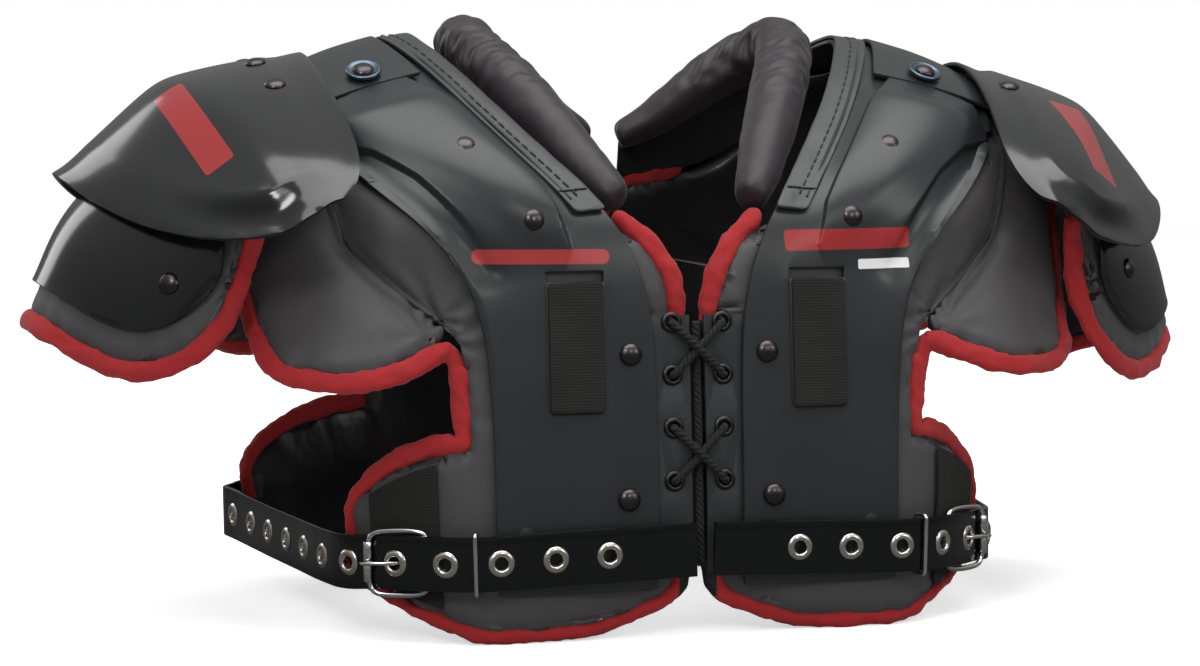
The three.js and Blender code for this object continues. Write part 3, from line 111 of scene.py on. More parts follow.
class NodeBench:
    """The node tree of one material, with shorthands that the finishes share."""

    def __init__(self, name: str) -> None:
        """Starts a material.

        Args:
            name: The material's name.
        """
        self.material = bpy.data.materials.new(name)
        self.material.use_nodes = True
        self.tree = self.material.node_tree
        self.shader = self.tree.nodes["Principled BSDF"]
        self.coordinates = self.tree.nodes.new("ShaderNodeTexCoord")

    def feed(self, socket: bpy.types.NodeSocket, value: object) -> None:
        """Links a socket to another one, or sets its own value."""
        if isinstance(value, bpy.types.NodeSocket):
            self.tree.links.new(value, socket)
        else:
            socket.default_value = value

    def node(self, kind: str, *values: object, **settings: object) -> bpy.types.Node:
        """Adds a node.

        Args:
            kind: The node's type without its ShaderNode prefix.
            values: What its inputs get, in their order; None leaves one alone.
            settings: The node's own properties.

        Returns:
            The node.
        """
        made = self.tree.nodes.new("ShaderNode" + kind)
        for key, value in settings.items():
            setattr(made, key, value)
        for socket, value in zip(made.inputs, values):
            if value is not None:
                self.feed(socket, value)
        return made

    def maths(self, operation: str, *values: object) -> bpy.types.NodeSocket:
        """A Math node's output."""
        return self.node("Math", *values, operation=operation).outputs[0]

    def vector(self, operation: str, *values: object) -> bpy.types.Node:
        """A Vector Math node."""
        return self.node("VectorMath", *values, operation=operation)

    def noise(
        self, size: float, where: bpy.types.NodeSocket | None = None, detail: float = 3.0
    ) -> bpy.types.NodeSocket:
        """Soft noise.

        Args:
            size: The size of its blots in metres.
            where: The coordinates; the object's own if left out.
            detail: How many finer layers it has.

        Returns:
            Its value, from 0 to 1.
        """
        source = where or self.coordinates.outputs["Object"]
        made = self.node("TexNoise")
        self.feed(made.inputs["Vector"], source)
        made.inputs["Scale"].default_value = 1 / size
        made.inputs["Detail"].default_value = detail
        return made.outputs["Fac"]

    def blend(self, share: object, first: object, second: object) -> bpy.types.NodeSocket:
        """A mix of two colours.

        Args:
            share: How much of the second it has, from 0 to 1.
            first: One colour.
            second: The other.

        Returns:
            The mixed colour.
        """
        made = self.node("Mix", data_type="RGBA")
        colours = [s for s in made.inputs if s.type == "RGBA"]
        self.feed(made.inputs[0], share)
        for socket, value in zip(colours, (first, second)):
            self.feed(socket, (*value, 1) if isinstance(value, tuple) else value)
        return [s for s in made.outputs if s.type == "RGBA"][0]

    def spread(self, value: object, low: float, high: float) -> bpy.types.NodeSocket:
        """A value from 0 to 1, laid out between two others."""
        made = self.node("MapRange", value, 0.0, 1.0, low, high)
        return made.outputs[0]

    def relief(self, height: object, depth: float, under: object = None) -> object:
        """A bump.

        Args:
            height: The height from 0 to 1.
            depth: How far a full height stands out, in metres.
            under: The normal of a bump that it lies on.

        Returns:
            The bumped normal.
        """
        made = self.node("Bump")
        made.inputs["Strength"].default_value = 1.0
        made.inputs["Distance"].default_value = depth
        self.feed(made.inputs["Height"], height)
        if under is not None:
            self.feed(made.inputs["Normal"], under)
        return made.outputs[0]

    def done(self, inputs: dict[str, object]) -> bpy.types.Material:
        """Feeds the shader's inputs by their names and hands over the material."""
        for name, value in inputs.items():
            self.feed(self.shader.inputs[name], value)
        return self.material


def tinted(colour: Colour, factor: float, lift: float = 0.0) -> Colour:
    """A lighter or darker shade of a colour."""
    return tuple(min(1.0, value * factor + lift) for value in colour)


@dataclass(frozen=True)
class Bar:
    """A plain printed bar with rounded ends, as it lies on a shell.

    Attributes:
        centre: Its middle in millimetres.
        along: The direction of its length.
        facing: The direction it faces.
        size: Its length, width and corner radius in millimetres.
        colour: Its ink.
        soft: Half the width of its blurred edge.
        depth: How far off its plane it still prints.
    """

    centre: Point
    along: Point
    facing: Point
    size: Point
    colour: Colour = (0.3, 0.018, 0.02)
    soft: float = 0.15 * MM
    depth: float = 35 * MM

    def mask(self, bench: NodeBench) -> bpy.types.NodeSocket:
        """The share of ink at each place.

        Args:
            bench: The node tree of the shell's material.

        Returns:
            The share, from 0 to 1.
        """
        along = Vector(self.along).normalized()
        facing = Vector(self.facing).normalized()
        across = facing.cross(along).normalized()
        facing = along.cross(across).normalized()
        length, width, corner = (value * MM for value in self.size)
        middle = tuple(value * MM for value in self.centre)
        offset = bench.vector(
            "SUBTRACT", bench.coordinates.outputs["Object"], middle
        ).outputs[0]

        def reach(axis: Vector, half: float) -> bpy.types.NodeSocket:
            """How far a place lies past the straight part of the bar."""
            dot = bench.vector("DOT_PRODUCT", offset, tuple(axis)).outputs["Value"]
            past = bench.maths("SUBTRACT", bench.maths("ABSOLUTE", dot), half - corner)
            return bench.maths("POWER", bench.maths("MAXIMUM", past, 0.0), 2.0)

        total = bench.maths("ADD", reach(along, length / 2), reach(across, width / 2))
        distance = bench.maths("SQRT", total)
        inside = bench.node(
            "MapRange", distance, corner - self.soft, corner + self.soft, 1.0, 0.0
        ).outputs[0]
        depth = bench.vector("DOT_PRODUCT", offset, tuple(facing)).outputs["Value"]
        near = bench.maths("LESS_THAN", bench.maths("ABSOLUTE", depth), self.depth)
        return bench.maths("MULTIPLY", inside, near)


@dataclass(frozen=True)
class Plastic:
    """Moulded plastic with a fine grain, handling marks and printed bars."""

    name: str
    colour: Colour
    roughness: float
    grain: float = 0.012  # relief in MM
    coat: float = 0.0
    bars: tuple[Bar, ...] = ()
    mottle: float = 0.32
    coat_roughness: float = 0.08

    def make(self) -> bpy.types.Material:
        """Builds the material."""
        bench = NodeBench(self.name)
        clouds = bench.noise(38 * MM)
        scuffs = bench.noise(5 * MM, detail=8)
        worn = tinted(self.colour, 1.9, 0.006)
        mottled = bench.blend(bench.spread(clouds, 0.0, self.mottle), self.colour, worn)
        for bar in self.bars:
            mottled = bench.blend(bar.mask(bench), mottled, bar.colour)
        gloss = bench.maths("MULTIPLY", clouds, scuffs)
        grain = bench.relief(bench.noise(0.7 * MM, detail=2), self.grain * MM)
        waves = bench.relief(bench.noise(60 * MM, detail=1), 0.35 * MM, grain)
        return bench.done({
            "Base Color": mottled,
            "Roughness": bench.spread(gloss, self.roughness * 0.82, self.roughness * 1.35),
            "Normal": waves,
            "Coat Weight": self.coat,
            "Coat Roughness": self.coat_roughness,
        })


@dataclass(frozen=True)
class Cloth:
    """Woven cloth: its threads, the wear of their colour and soft crumples."""

    name: str
    colour: Colour
    thread: Colour
    weave: Weave
    pitch: float  # from thread to thread in MM
    roughness: float = 0.75
    relief: float = 0.1  # in MM
    crumple: float = 0.0  # in MM
    sheen: float = 0.15

    def threads(self, bench: NodeBench) -> bpy.types.NodeSocket:
        """The height of the threads, on the piece's own UV map.

        Args:
            bench: The node tree of the cloth's material.

        Returns:
            The height, from 0 to 1.
        """
        flat = bench.coordinates.outputs["UV"]
        parts = bench.node("SeparateXYZ", flat).outputs

        def waves(value: object) -> bpy.types.NodeSocket:
            """Ridges across a value."""
            turn = math.tau / (self.pitch * MM)
            wave = bench.maths("SINE", bench.maths("MULTIPLY", value, turn))
            return bench.spread(bench.maths("ADD", wave, 1.0), 0.0, 0.5)

        if self.weave is Weave.TWILL:
            return waves(bench.maths("ADD", parts[0], parts[1]))
        if self.weave is Weave.RIB:
            return waves(parts[1])
        if self.weave is Weave.BRAID:
            rising = waves(bench.maths("ADD", parts[0], parts[1]))
            falling = waves(bench.maths("SUBTRACT", parts[0], parts[1]))
            return bench.maths("MAXIMUM", rising, falling)
        return bench.maths("MULTIPLY", waves(parts[0]), waves(parts[1]))

    def make(self) -> bpy.types.Material:
        """Builds the material."""
        bench = NodeBench(self.name)
        threads = self.threads(bench)
        fade = bench.noise(22 * MM, detail=4)
        tone = bench.blend(bench.spread(threads, 0.0, 0.8), self.colour, self.thread)
        light = tinted(self.colour, 1.28, 0.002)
        dull, matt = self.roughness * 0.85, min(1.0, self.roughness * 1.12)
        normal = bench.relief(threads, self.relief * MM)
        if self.crumple:
            stretched = bench.node(
                "Mapping", bench.coordinates.outputs["Object"], None, None, (1, 1, 0.6)
            ).outputs[0]
            folds = bench.noise(11 * MM, stretched, detail=2)
            normal = bench.relief(folds, self.crumple * MM, normal)
        return bench.done({
            "Base Color": bench.blend(bench.spread(fade, 0.0, 0.45), tone, light),
            "Roughness": bench.spread(fade, dull, matt),
            "Normal": normal,
            "Sheen Weight": self.sheen,
            "Sheen Roughness": 0.4,
        })


@dataclass(frozen=True)
class Vinyl:
    """Coated cloth with a leather grain."""

    name: str
    colour: Colour
    roughness: float
    grain: float = 0.9  # the size of a cell in MM
    relief: float = 0.05  # in MM
    coat: float = 0.0
    coat_roughness: float = 0.06

    def make(self) -> bpy.types.Material:
        """Builds the material."""
        bench = NodeBench(self.name)
        cells = bench.node("TexVoronoi")
        bench.feed(cells.inputs["Vector"], bench.coordinates.outputs["Object"])
        cells.inputs["Scale"].default_value = 1 / (self.grain * MM)
        worn = tinted(self.colour, 1.6, 0.001)
        smudge = bench.noise(16 * MM, detail=5)
        leather = bench.relief(cells.outputs["Distance"], self.relief * MM)
        return bench.done({
            "Base Color": bench.blend(bench.spread(smudge, 0.0, 0.5), self.colour, worn),
            "Roughness": bench.spread(smudge, self.roughness * 0.75, self.roughness * 1.4),
            "Normal": bench.relief(bench.noise(14 * MM, detail=1), 0.25 * MM, leather),
            "Coat Weight": self.coat,
            "Coat Roughness": self.coat_roughness,
        })


@dataclass(frozen=True)
class Metal:
    """Plated metal with faint handling marks."""

    name: str
    colour: Colour
    roughness: float

    def make(self) -> bpy.types.Material:
        """Builds the material."""
        bench = NodeBench(self.name)
        marks = bench.noise(1.6 * MM, detail=6)
        tarnish = tinted(self.colour, 0.72)
        return bench.done({
            "Base Color": bench.blend(bench.spread(marks, 0.0, 0.5), self.colour, tarnish),
            "Roughness": bench.spread(marks, self.roughness * 0.7, self.roughness * 1.5),
            "Normal": bench.relief(marks, 0.01 * MM),
            "Metallic": 1.0,
        })


# The bars printed on the chest and the flaps, in millimetres
CHEST_BARS = (
    Bar((-69.5, -107, 173.5), (1, 0, -0.01), (0, -1, 0), (63, 6.6, 3.2), (0.33, 0.03, 0.03)),
    Bar((77.0, -106, 179.5), (1, 0.02, 0.01), (0, -1, 0), (62, 9.5, 1.6)),
    Bar((94.0, -106, 168.0), (1, 0.02, 0.01), (0, -1, 0), (26, 4.6, 0.8), (0.72, 0.72, 0.72)),
)
FLAP_BARS = (
    Bar((-218.6, -57, 233.7), (0.17, -0.88, -0.4), (-0.45, -0.45, 0.76), (74, 15, 2.0)),
    Bar((213.0, -71.0, 225.0), (0.03, 0.81, 0.58), (0.45, -0.6, 0.66), (62, 19, 2.0)),
)


class Finishes:
    """Every finish of the pads, built once."""

    def __init__(self) -> None:
        """Builds the materials."""
        self.shell = Plastic(
            "shell_plastic", (0.0155, 0.0166, 0.0174), 0.35, bars=CHEST_BARS
        ).make()
        self.gloss = Plastic(
            "guard_plastic", (0.006, 0.0063, 0.0067), 0.16, 0.005, 0.2, FLAP_BARS
        ).make()
        self.binding = Vinyl("binding_vinyl", (0.032, 0.033, 0.034), 0.4).make()
        self.tab = Vinyl("tab_vinyl", (0.018, 0.0195, 0.0203), 0.42, 0.8, 0.04).make()
        self.belt = Vinyl(
            "belt_patent_vinyl", (0.002, 0.0023, 0.0026), 0.11, 1.4, 0.004
        ).make()
        self.padding = Cloth(
            "padding_twill", (0.042, 0.04, 0.042), (0.078, 0.074, 0.077), Weave.TWILL, 1.5,
            0.6, 0.12, 0.3, 0.1,
        ).make()
        self.lining = Cloth(
            "lining_satin", (0.012, 0.0105, 0.0115), (0.017, 0.015, 0.0165), Weave.PLAIN, 0.8,
            0.36, 0.03, 0.9, 0.1,
        ).make()
        self.roll = Cloth(
            "roll_nylon", (0.016, 0.01, 0.0135), (0.025, 0.0165, 0.0215), Weave.PLAIN, 0.9,
            0.5, 0.05, 0.4, 0.12,
        ).make()
        self.piping = Cloth(
            "piping_tape", (0.3, 0.007, 0.0095), (0.44, 0.013, 0.016), Weave.TWILL, 1.3,
            0.85, 0.2, 0.15, 0.12,
        ).make()
        self.webbing = Cloth(
            "elastic_webbing", (0.006, 0.0055, 0.005), (0.0165, 0.0155, 0.0145), Weave.RIB, 1.3,
            0.9, 0.2, 0.0, 0.04,
        ).make()
        self.lace = Cloth(
            "braided_lace", (0.002, 0.0018, 0.0018), (0.022, 0.02, 0.02), Weave.BRAID, 2.6,
            0.85, 0.5, 0.0, 0.04,
        ).make()
        self.thread = Cloth(
            "black_thread", (0.004, 0.004, 0.004), (0.01, 0.01, 0.01), Weave.TWILL, 0.5,
            0.6, 0.05, 0.0, 0.2,
        ).make()
        self.rivet = Metal("dark_nickel", (0.085, 0.074, 0.078), 0.27).make()
        self.washer = Metal("blued_ring", (0.13, 0.175, 0.22), 0.3).make()
        self.eyelet = Metal("nickel_eyelet", (0.72, 0.68, 0.62), 0.22).make()
        self.ring = Metal("black_ring", (0.06, 0.06, 0.062), 0.3).make()
        self.buckle = Metal("polished_steel", (0.78, 0.78, 0.77), 0.12).make()


# Workshop: what the sub-assemblies share

RIM_STEP = 2 * MM  # between the points that stand for a cut edge
RIM_STAYS = 0.6 * MM  # how near a cut edge nothing is smoothed
RIM_FADE = 4 * MM  # and over what width the smoothing grows to full
HOLE_REACH = 9 * MM  # the points of one hole's rim lie nearer than this


def activate(piece: bpy.types.Object) -> None:
    """Makes one piece the only selected and active one."""
    bpy.ops.object.select_all(action="DESELECT")
    piece.select_set(True)
    bpy.context.view_layer.objects.active = piece


def linked(name: str, mesh: bpy.types.Mesh) -> bpy.types.Object:
    """A new object for a mesh, at the origin."""
    mesh.name = name
    piece = bpy.data.objects.new(name, mesh)
    bpy.context.scene.collection.objects.link(piece)
    return piece


def apply(piece: bpy.types.Object, kind: str, **settings: object) -> None:
    """Adds a modifier and applies it.

    Args:
        piece: The piece.
        kind: The modifier's type.
        settings: Its settings.
    """
    modifier = piece.modifiers.new(kind.title(), kind)
    for key, value in settings.items():
        setattr(modifier, key, value)
    activate(piece)
    bpy.ops.object.modifier_apply(modifier=modifier.name)


def traced(node: str, name: str) -> bpy.types.Object:
    """A copy of a node's shape to work on, with its loose triangles sewn into quads.

    Args:
        node: The node.
        name: The new piece's name.

    Returns:
        The copy.
    """
    piece = linked(name, bpy.data.objects[node].data.copy())
    piece.data.materials.clear()
    activate(piece)
    bpy.ops.mesh.customdata_custom_splitnormals_clear()
    bpy.ops.object.mode_set(mode="EDIT")
    bpy.ops.mesh.select_all(action="SELECT")
    bpy.ops.mesh.remove_doubles(threshold=0.02 * MM)
    bpy.ops.mesh.tris_convert_to_quads(
        face_threshold=math.radians(60), shape_threshold=math.radians(70)
    )
    bpy.ops.mesh.normals_make_consistent(inside=False)
    bpy.ops.object.mode_set(mode="OBJECT")
    return piece


def crease(piece: bpy.types.Object, angle: float, weight: float) -> None:
    """Keeps a piece's corners from rounding away.

    Args:
        piece: The piece.
        angle: More than how many degrees a corner turns that is kept.
        weight: How sharp it stays, from 0 to 1.
    """
    shape = bmesh.new()
    shape.from_mesh(piece.data)
    weights = shape.edges.layers.float.get("crease_edge")
    weights = weights or shape.edges.layers.float.new("crease_edge")
    for edge in shape.edges:
        if edge.is_manifold and edge.calc_face_angle() > math.radians(angle):
            edge[weights] = weight
    shape.to_mesh(piece.data)
    shape.free()


def rounded(piece: bpy.types.Object, levels: int = 2) -> None:
    """Rounds a piece with a Subdivision Surface."""
    apply(piece, "SUBSURF", levels=levels, render_levels=levels)


def smooth(piece: bpy.types.Object, angle: float | None = None) -> None:
    """Shades a piece smooth, up to an angle in degrees if one is given.

    Args:
        piece: The piece.
        angle: The angle, or none for all of it.
    """
    activate(piece)
    if angle is None:
        bpy.ops.object.shade_smooth()
    else:
        bpy.ops.object.shade_smooth_by_angle(angle=math.radians(angle))


def flat_map(piece: bpy.types.Object) -> None:
    """Gives a piece a UV map in metres, laid on from the nearest side."""
    activate(piece)
    bpy.ops.object.mode_set(mode="EDIT")
    bpy.ops.mesh.select_all(action="SELECT")
    bpy.ops.uv.cube_project(cube_size=1.0, correct_aspect=False)
    bpy.ops.object.mode_set(mode="OBJECT")


def shift(piece: bpy.types.Object, move: Callable[[Vector, Vector], Vector]) -> None:
    """Moves each point of a piece.

    Args:
        piece: The piece.
        move: Gives a point's offset from its place and normal.
    """
    mesh = piece.data
    moves = [move(v.co, v.normal) for v in mesh.vertices]
    for vertex, offset in zip(mesh.vertices, moves):
        vertex.co += offset
    mesh.update()


def cut_edges(piece: bpy.types.Object, angle: float) -> KDTree:
    """The points along the edges that turn sharply.

    Args:
        piece: The piece.
        angle: More than how many degrees they turn.

    Returns:
        A search tree over the points.
    """
    shape = bmesh.new()
    shape.from_mesh(piece.data)
    found = []
    for edge in shape.edges:
        if edge.is_manifold and edge.calc_face_angle() > math.radians(angle):
            start, end = (vertex.co for vertex in edge.verts)
            count = max(2, round((end - start).length / RIM_STEP))
            found += [start.lerp(end, k / count) for k in range(count)]
    shape.free()
    return tree_of(found)


def tree_of(points: Sequence[Vector]) -> KDTree:
    """A search tree over some points."""
    tree = KDTree(len(points))
    for k, point in enumerate(points):
        tree.insert(point, k)
    tree.balance()
    return tree


def relaxed(piece: bpy.types.Object, angle: float, turns: int) -> None:
    """Smooths a piece's broad faces and leaves its cut edges where they are.

    Args:
        piece: The piece.
        angle: How sharp in degrees an edge is that stays.
        turns: How often it is smoothed.
    """
    rims = cut_edges(piece, angle)
    free = piece.vertex_groups.new(name="free")
    for vertex in piece.data.vertices:
        away = rims.find(vertex.co)[2]
        share = min(1.0, max(0.0, (away - RIM_STAYS) / RIM_FADE))
        free.add([vertex.index], share, "REPLACE")
    apply(piece, "SMOOTH", factor=0.5, iterations=turns, vertex_group="free")
    piece.vertex_groups.clear()


def eased(value: float, low: float, high: float) -> float:
    """How far a value has come from one bound to another, with soft ends."""
    share = min(1.0, max(0.0, (value - low) / (high - low)))
    return share * share * (3 - 2 * share)


def gap_to(spot: Vector, start: Vector, end: Vector) -> float:
    """The distance from a spot to the line between two points."""
    along = end - start
    share = (spot - start).dot(along) / along.length_squared
    return (start + along * min(1.0, max(0.0, share)) - spot).length


def surface_of(*pieces: bpy.types.Object) -> BVHTree:
    """A search tree over the faces of some pieces.

    Args:
        pieces: The pieces.

    Returns:
        The tree.
    """
    shape = bmesh.new()
    for piece in pieces:
        shape.from_mesh(piece.data)
    tree = BVHTree.FromBMesh(shape)
    shape.free()
    return tree


def swept(
    name: str,
    path: Sequence[Vector],
    ups: Sequence[Vector],
    profile: Sequence[tuple[float, float]],
    closed: bool = False,
) -> bpy.types.Object:
    """A strap or cord along a path, with a UV map in metres.

    Args:
        name: The piece's name.
        path: Its centre line.
        ups: The way that is up at each point of the path.
        profile: Its section, as places across and up.
        closed: Whether the path is a loop.

    Returns:
        The piece.
    """
    shape = bmesh.new()
    flat = shape.loops.layers.uv.new("UVMap")
    count, sides = len(path), len(profile)
    rings, lengths = [], [0.0]
    for i, point in enumerate(path):
        before = path[i - 1 if i or closed else 0]
        after = path[(i + 1) % count if closed else min(i + 1, count - 1)]
        tangent = (after - before).normalized()
        across = ups[i].cross(tangent).normalized()
        up = tangent.cross(across).normalized()
        rings.append([shape.verts.new(point + across * a + up * b) for a, b in profile])
        lengths.append(lengths[-1] + (path[(i + 1) % count] - point).length)
    girth = [0.0]
    for k in range(sides):
        first, second = Vector(profile[k]), Vector(profile[(k + 1) % sides])
        girth.append(girth[-1] + (second - first).length)
    for i in range(count if closed else count - 1):
        near, far = rings[i], rings[(i + 1) % count]
        for k in range(sides):
            after = (k + 1) % sides
            face = shape.faces.new((near[k], near[after], far[after], far[k]))
            places = ((i, k), (i, k + 1), (i + 1, k + 1), (i + 1, k))
            for loop, (row, column) in zip(face.loops, places):
                loop[flat].uv = (girth[column], lengths[row])
    if not closed:
        shape.faces.new(rings[0][::-1])
        shape.faces.new(rings[-1])
    bmesh.ops.recalc_face_normals(shape, faces=shape.faces)
    mesh = bpy.data.meshes.new(name)
    shape.to_mesh(mesh)
    shape.free()
    return linked(name, mesh)


def circle(radius: float, sides: int) -> list[tuple[float, float]]:
    """A round section."""
    turns = [2 * math.pi * k / sides for k in range(sides)]
    return [(radius * math.cos(turn), radius * math.sin(turn)) for turn in turns]


def curve_through(points: Sequence[Vector], step: float) -> list[Vector]:
    """Points a step apart on a smooth curve through some others.

    Args:
        points: The points that it passes through.
        step: How far apart its own points are.

    Returns:
        Its points, with both ends.
    """
    padded = [points[0] * 2 - points[1], *points, points[-1] * 2 - points[-2]]
    line: list[Vector] = []
    for before, start, end, after in zip(padded, padded[1:], padded[2:], padded[3:]):
        count = max(1, round((end - start).length / step))
        for k in range(count):
            t = k / count
            cubic = 3 * start - before - 3 * end + after
            square = 2 * before - 5 * start + 4 * end - after
            line.append(0.5 * (2 * start + (end - before) * t + square * t**2 + cubic * t**3))
    return [*line, points[-1].copy()]


def turned(name: str, outline: Sequence[tuple[float, float]], steps: int) -> bpy.types.Object:
    """A piece turned on a lathe about the Z axis.

    Args:
        name: Its name.
        outline: Radius and height of each point of its outline, in millimetres.
        steps: How many faces it has round its axis.

    Returns:
        The piece, at the origin.
    """
    mesh = bpy.data.meshes.new(name)
    points = [(radius * MM, 0.0, height * MM) for radius, height in outline]
    mesh.from_pydata(points, [(k, k + 1) for k in range(len(points) - 1)], [])
    piece = linked(name, mesh)
    activate(piece)
    bpy.ops.object.mode_set(mode="EDIT")
    bpy.ops.mesh.select_all(action="SELECT")
    bpy.ops.mesh.spin(steps=steps, angle=2 * math.pi, center=(0, 0, 0), axis=(0, 0, 1))
    bpy.ops.mesh.select_all(action="SELECT")
    bpy.ops.mesh.remove_doubles(threshold=0.005 * MM)
    bpy.ops.mesh.normals_make_consistent(inside=False)
    bpy.ops.object.mode_set(mode="OBJECT")
    smooth(piece, 50)
    return piece


def seated(model: bpy.types.Object, name: str, spots: Iterable[Spot]) -> bpy.types.Object:
    """Copies of a small model, each on a spot, as one piece.

    Args:
        model: The model, which stands on the origin.
        name: The new piece's name.
        spots: The place and direction of each copy.

    Returns:
        The piece.
    """
    shape = bmesh.new()
    for place, facing in spots:
        turn = facing.to_track_quat("Z", "Y").to_matrix().to_4x4()
        start = len(shape.verts)
        shape.from_mesh(model.data)
        shape.verts.ensure_lookup_table()
        matrix = Matrix.Translation(place) @ turn
        for vertex in shape.verts[start:]:
            vertex.co = matrix @ vertex.co
    mesh = bpy.data.meshes.new(name)
    shape.to_mesh(mesh)
    shape.free()
    piece = linked(name, mesh)
    smooth(piece, 50)
    return piece


def joined(pieces: Sequence[bpy.types.Object]) -> bpy.types.Object:
    """Some pieces made one, under the first one's name."""
    activate(pieces[0])
    for piece in pieces:
        piece.select_set(True)
    bpy.ops.object.join()
    return pieces[0]


def crinkled(piece: bpy.types.Object, waves: Sequence[tuple[float, float]]) -> None:
    """Makes small puckers all over a piece.

    Args:
        piece: The piece.
        waves: For each layer of them how many lie in a metre, and their height in MM.
    """

    def pucker(place: Vector, normal: Vector) -> Vector:
        """How far a point stands out."""
        return normal * sum(noise.noise(place * pitch) * high for pitch, high in waves) * MM

    shift(piece, pucker)


def grouped(points: Iterable[Vector], reach: float) -> list[list[Vector]]:
    """Sorts points into groups.

    Args:
        points: The points.
        reach: How near the first point of its group each one lies.

    Returns:
        The groups, in the order of their first points.
    """
    groups: list[list[Vector]] = []
    for point in points:
        home = next((group for group in groups if (group[0] - point).length < reach), None)
        if home is None:
            groups.append([point.copy()])
        else:
            home.append(point.copy())
    return groups


def holes_in(
    node: str, low: float, high: float, test: Callable[[Vector], bool] = lambda place: True
) -> list[Spot]:
    """The round holes of a flat node.

    Args:
        node: The node.
        low: The lowest height where a hole's rim lies, in millimetres.
        high: The highest.
        test: Tells whether a point may be on a hole's rim.

    Returns:
        The centre of each hole and the way out of it, from the lowest up.
    """
    places = (vertex.co for vertex in bpy.data.objects[node].data.vertices)
    rims = (p for p in places if low * MM < p.z < high * MM and test(p))
    groups = grouped(rims, HOLE_REACH)
    found = []
    for group in groups:
        cloud = np.array([tuple(p) for p in group])
        centre = Vector((cloud.min(0) + cloud.max(0)) / 2)
        facing = Vector(np.linalg.svd(cloud - cloud.mean(0))[2][2])
        outwards = Vector((centre.x, centre.y, 0))
        found.append((centre, facing if facing.dot(outwards) > 0 else -facing))
    return sorted(found, key=lambda hole: hole[0].z)


def finish(
    piece: bpy.types.Object,
    material: bpy.types.Material,
    replaced: Sequence[str] = (),
) -> bpy.types.Object:
    """Dresses a piece, lets it ride and reports it.

    Args:
        piece: The piece.
        material: Its finish.
        replaced: The nodes that it stands for.

    Returns:
        The piece.
    """
    if not piece.data.materials:
        piece.data.materials.append(material)
    if not piece.data.uv_layers:
        flat_map(piece)
    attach(piece, "root")
    if replaced:
        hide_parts(*replaced)
    LOG.info("%s: %d faces", piece.name, len(piece.data.polygons))
    return piece


def softened(
    node: str,
    name: str,
    material: bpy.types.Material,
    weight: float = 0.7,
    levels: int = 2,
) -> bpy.types.Object:
    """A piece of a node's own shape, with its corners softened.

    Args:
        node: The node that it replaces.
        name: Its name.
        material: Its finish.
        weight: How sharp its corners stay.
        levels: How often it is subdivided.

    Returns:
        The piece.
    """
    piece = traced(node, name)
    crease(piece, 50, weight)
    rounded(piece, levels)
    smooth(piece, 40)
    return finish(piece, material, [node])


def turned_on(
    name: str,
    outline: Sequence[tuple[float, float]],
    steps: int,
    spots: Iterable[Spot],
    material: bpy.types.Material,
) -> bpy.types.Object:
    """Small turned parts, one on each spot, as one dressed piece.

    Args:
        name: The piece's name.
        outline: The outline that each is turned from, in millimetres.
        steps: How many faces each has round its axis.
        spots: Where they sit.
        material: Their finish.

    Returns:
        The piece.
    """
    model = turned(f"{name}_model", outline, steps)
    piece = seated(model, name, spots)
    bpy.data.objects.remove(model)
    return finish(piece, material)


# The camera and the studio


@dataclass
class Viewpoint:
    """The camera of the photograph."""

    target: Vector = field(default_factory=lambda: Vector((-0.01814, -0.02197, 0.132)))
    azimuth: float = -16.0
    elevation: float = 4.408
    roll: float = -0.093
    distance: float = 1.4
    lens: float = 87.5
    width: int = 1200
    height: int = 666
    sensor: float = 36.0
    sight_end: float = 50.0

    @property
    def back(self) -> Vector:
        """The way from the target to the camera."""
        turn, rise = math.radians(self.azimuth), math.radians(self.elevation)
        flat = math.cos(rise)
        return Vector((math.sin(turn) * flat, -math.cos(turn) * flat, math.sin(rise)))

    @property
    def place(self) -> Vector:
        """Where the camera stands."""
        return self.target + self.back * self.distance

    @property
    def turn(self) -> Matrix:
        """How the camera is turned."""
        level = (-self.back).to_track_quat("-Z", "Y").to_matrix()
        return level @ Matrix.Rotation(math.radians(self.roll), 3, "Z")

    def ray(self, x: float, y: float) -> Vector:
        """The direction of sight through a place in the photograph."""
        focal = self.lens / self.sensor * self.width
        offset = ((x - self.width / 2) / focal, (self.height / 2 - y) / focal, -1)
        return (self.turn @ Vector(offset)).normalized()

    def spot(self, tree: BVHTree, x: float, y: float) -> Spot:
        """Where a surface is seen at a place in the photograph.

        Args:
            tree: The surface.
            x: How far right the place lies, in pixels.
            y: How far down it lies.

        Returns:
            The place on the surface and its normal.

        Raises:
            ValueError: If the surface isn't there in the view.
        """
        sight = self.ray(x, y)
        place, normal, _, _ = tree.ray_cast(self.place, sight)
        if place is None:
            raise ValueError(f"nothing lies at {x}, {y} in the view")
        return place, normal if normal.dot(sight) < 0 else -normal

    def build(self) -> None:
        """Makes the camera."""
        camera = bpy.data.objects.new("camera", bpy.data.cameras.new("camera"))
        bpy.context.scene.collection.objects.link(camera)
        camera.data.lens = self.lens
        camera.data.clip_end = self.sight_end
        camera.matrix_world = Matrix.Translation(self.place) @ self.turn.to_4x4()
        bpy.context.scene.camera = camera


@dataclass(frozen=True)
class Softbox:
    """A lamp that faces the pads.

    Attributes:
        name: Its name.
        place: Where it stands.
        size: Its width and height.
        power: Its power in watts.
    """

    name: str
    place: Point
    size: tuple[float, float]
    power: float

    def build(self, aim: Vector) -> None:
        """Makes the lamp, turned to what it faces."""
        lamp = bpy.data.lights.new(self.name, "AREA")
        lamp.shape = "RECTANGLE"
        lamp.size, lamp.size_y = self.size
        lamp.energy = self.power
        box = bpy.data.objects.new(self.name, lamp)
        bpy.context.scene.collection.objects.link(box)
        place = Vector(self.place)
        turn = (aim - place).to_track_quat("-Z", "Y").to_matrix().to_4x4()
        box.matrix_world = Matrix.Translation(place) @ turn


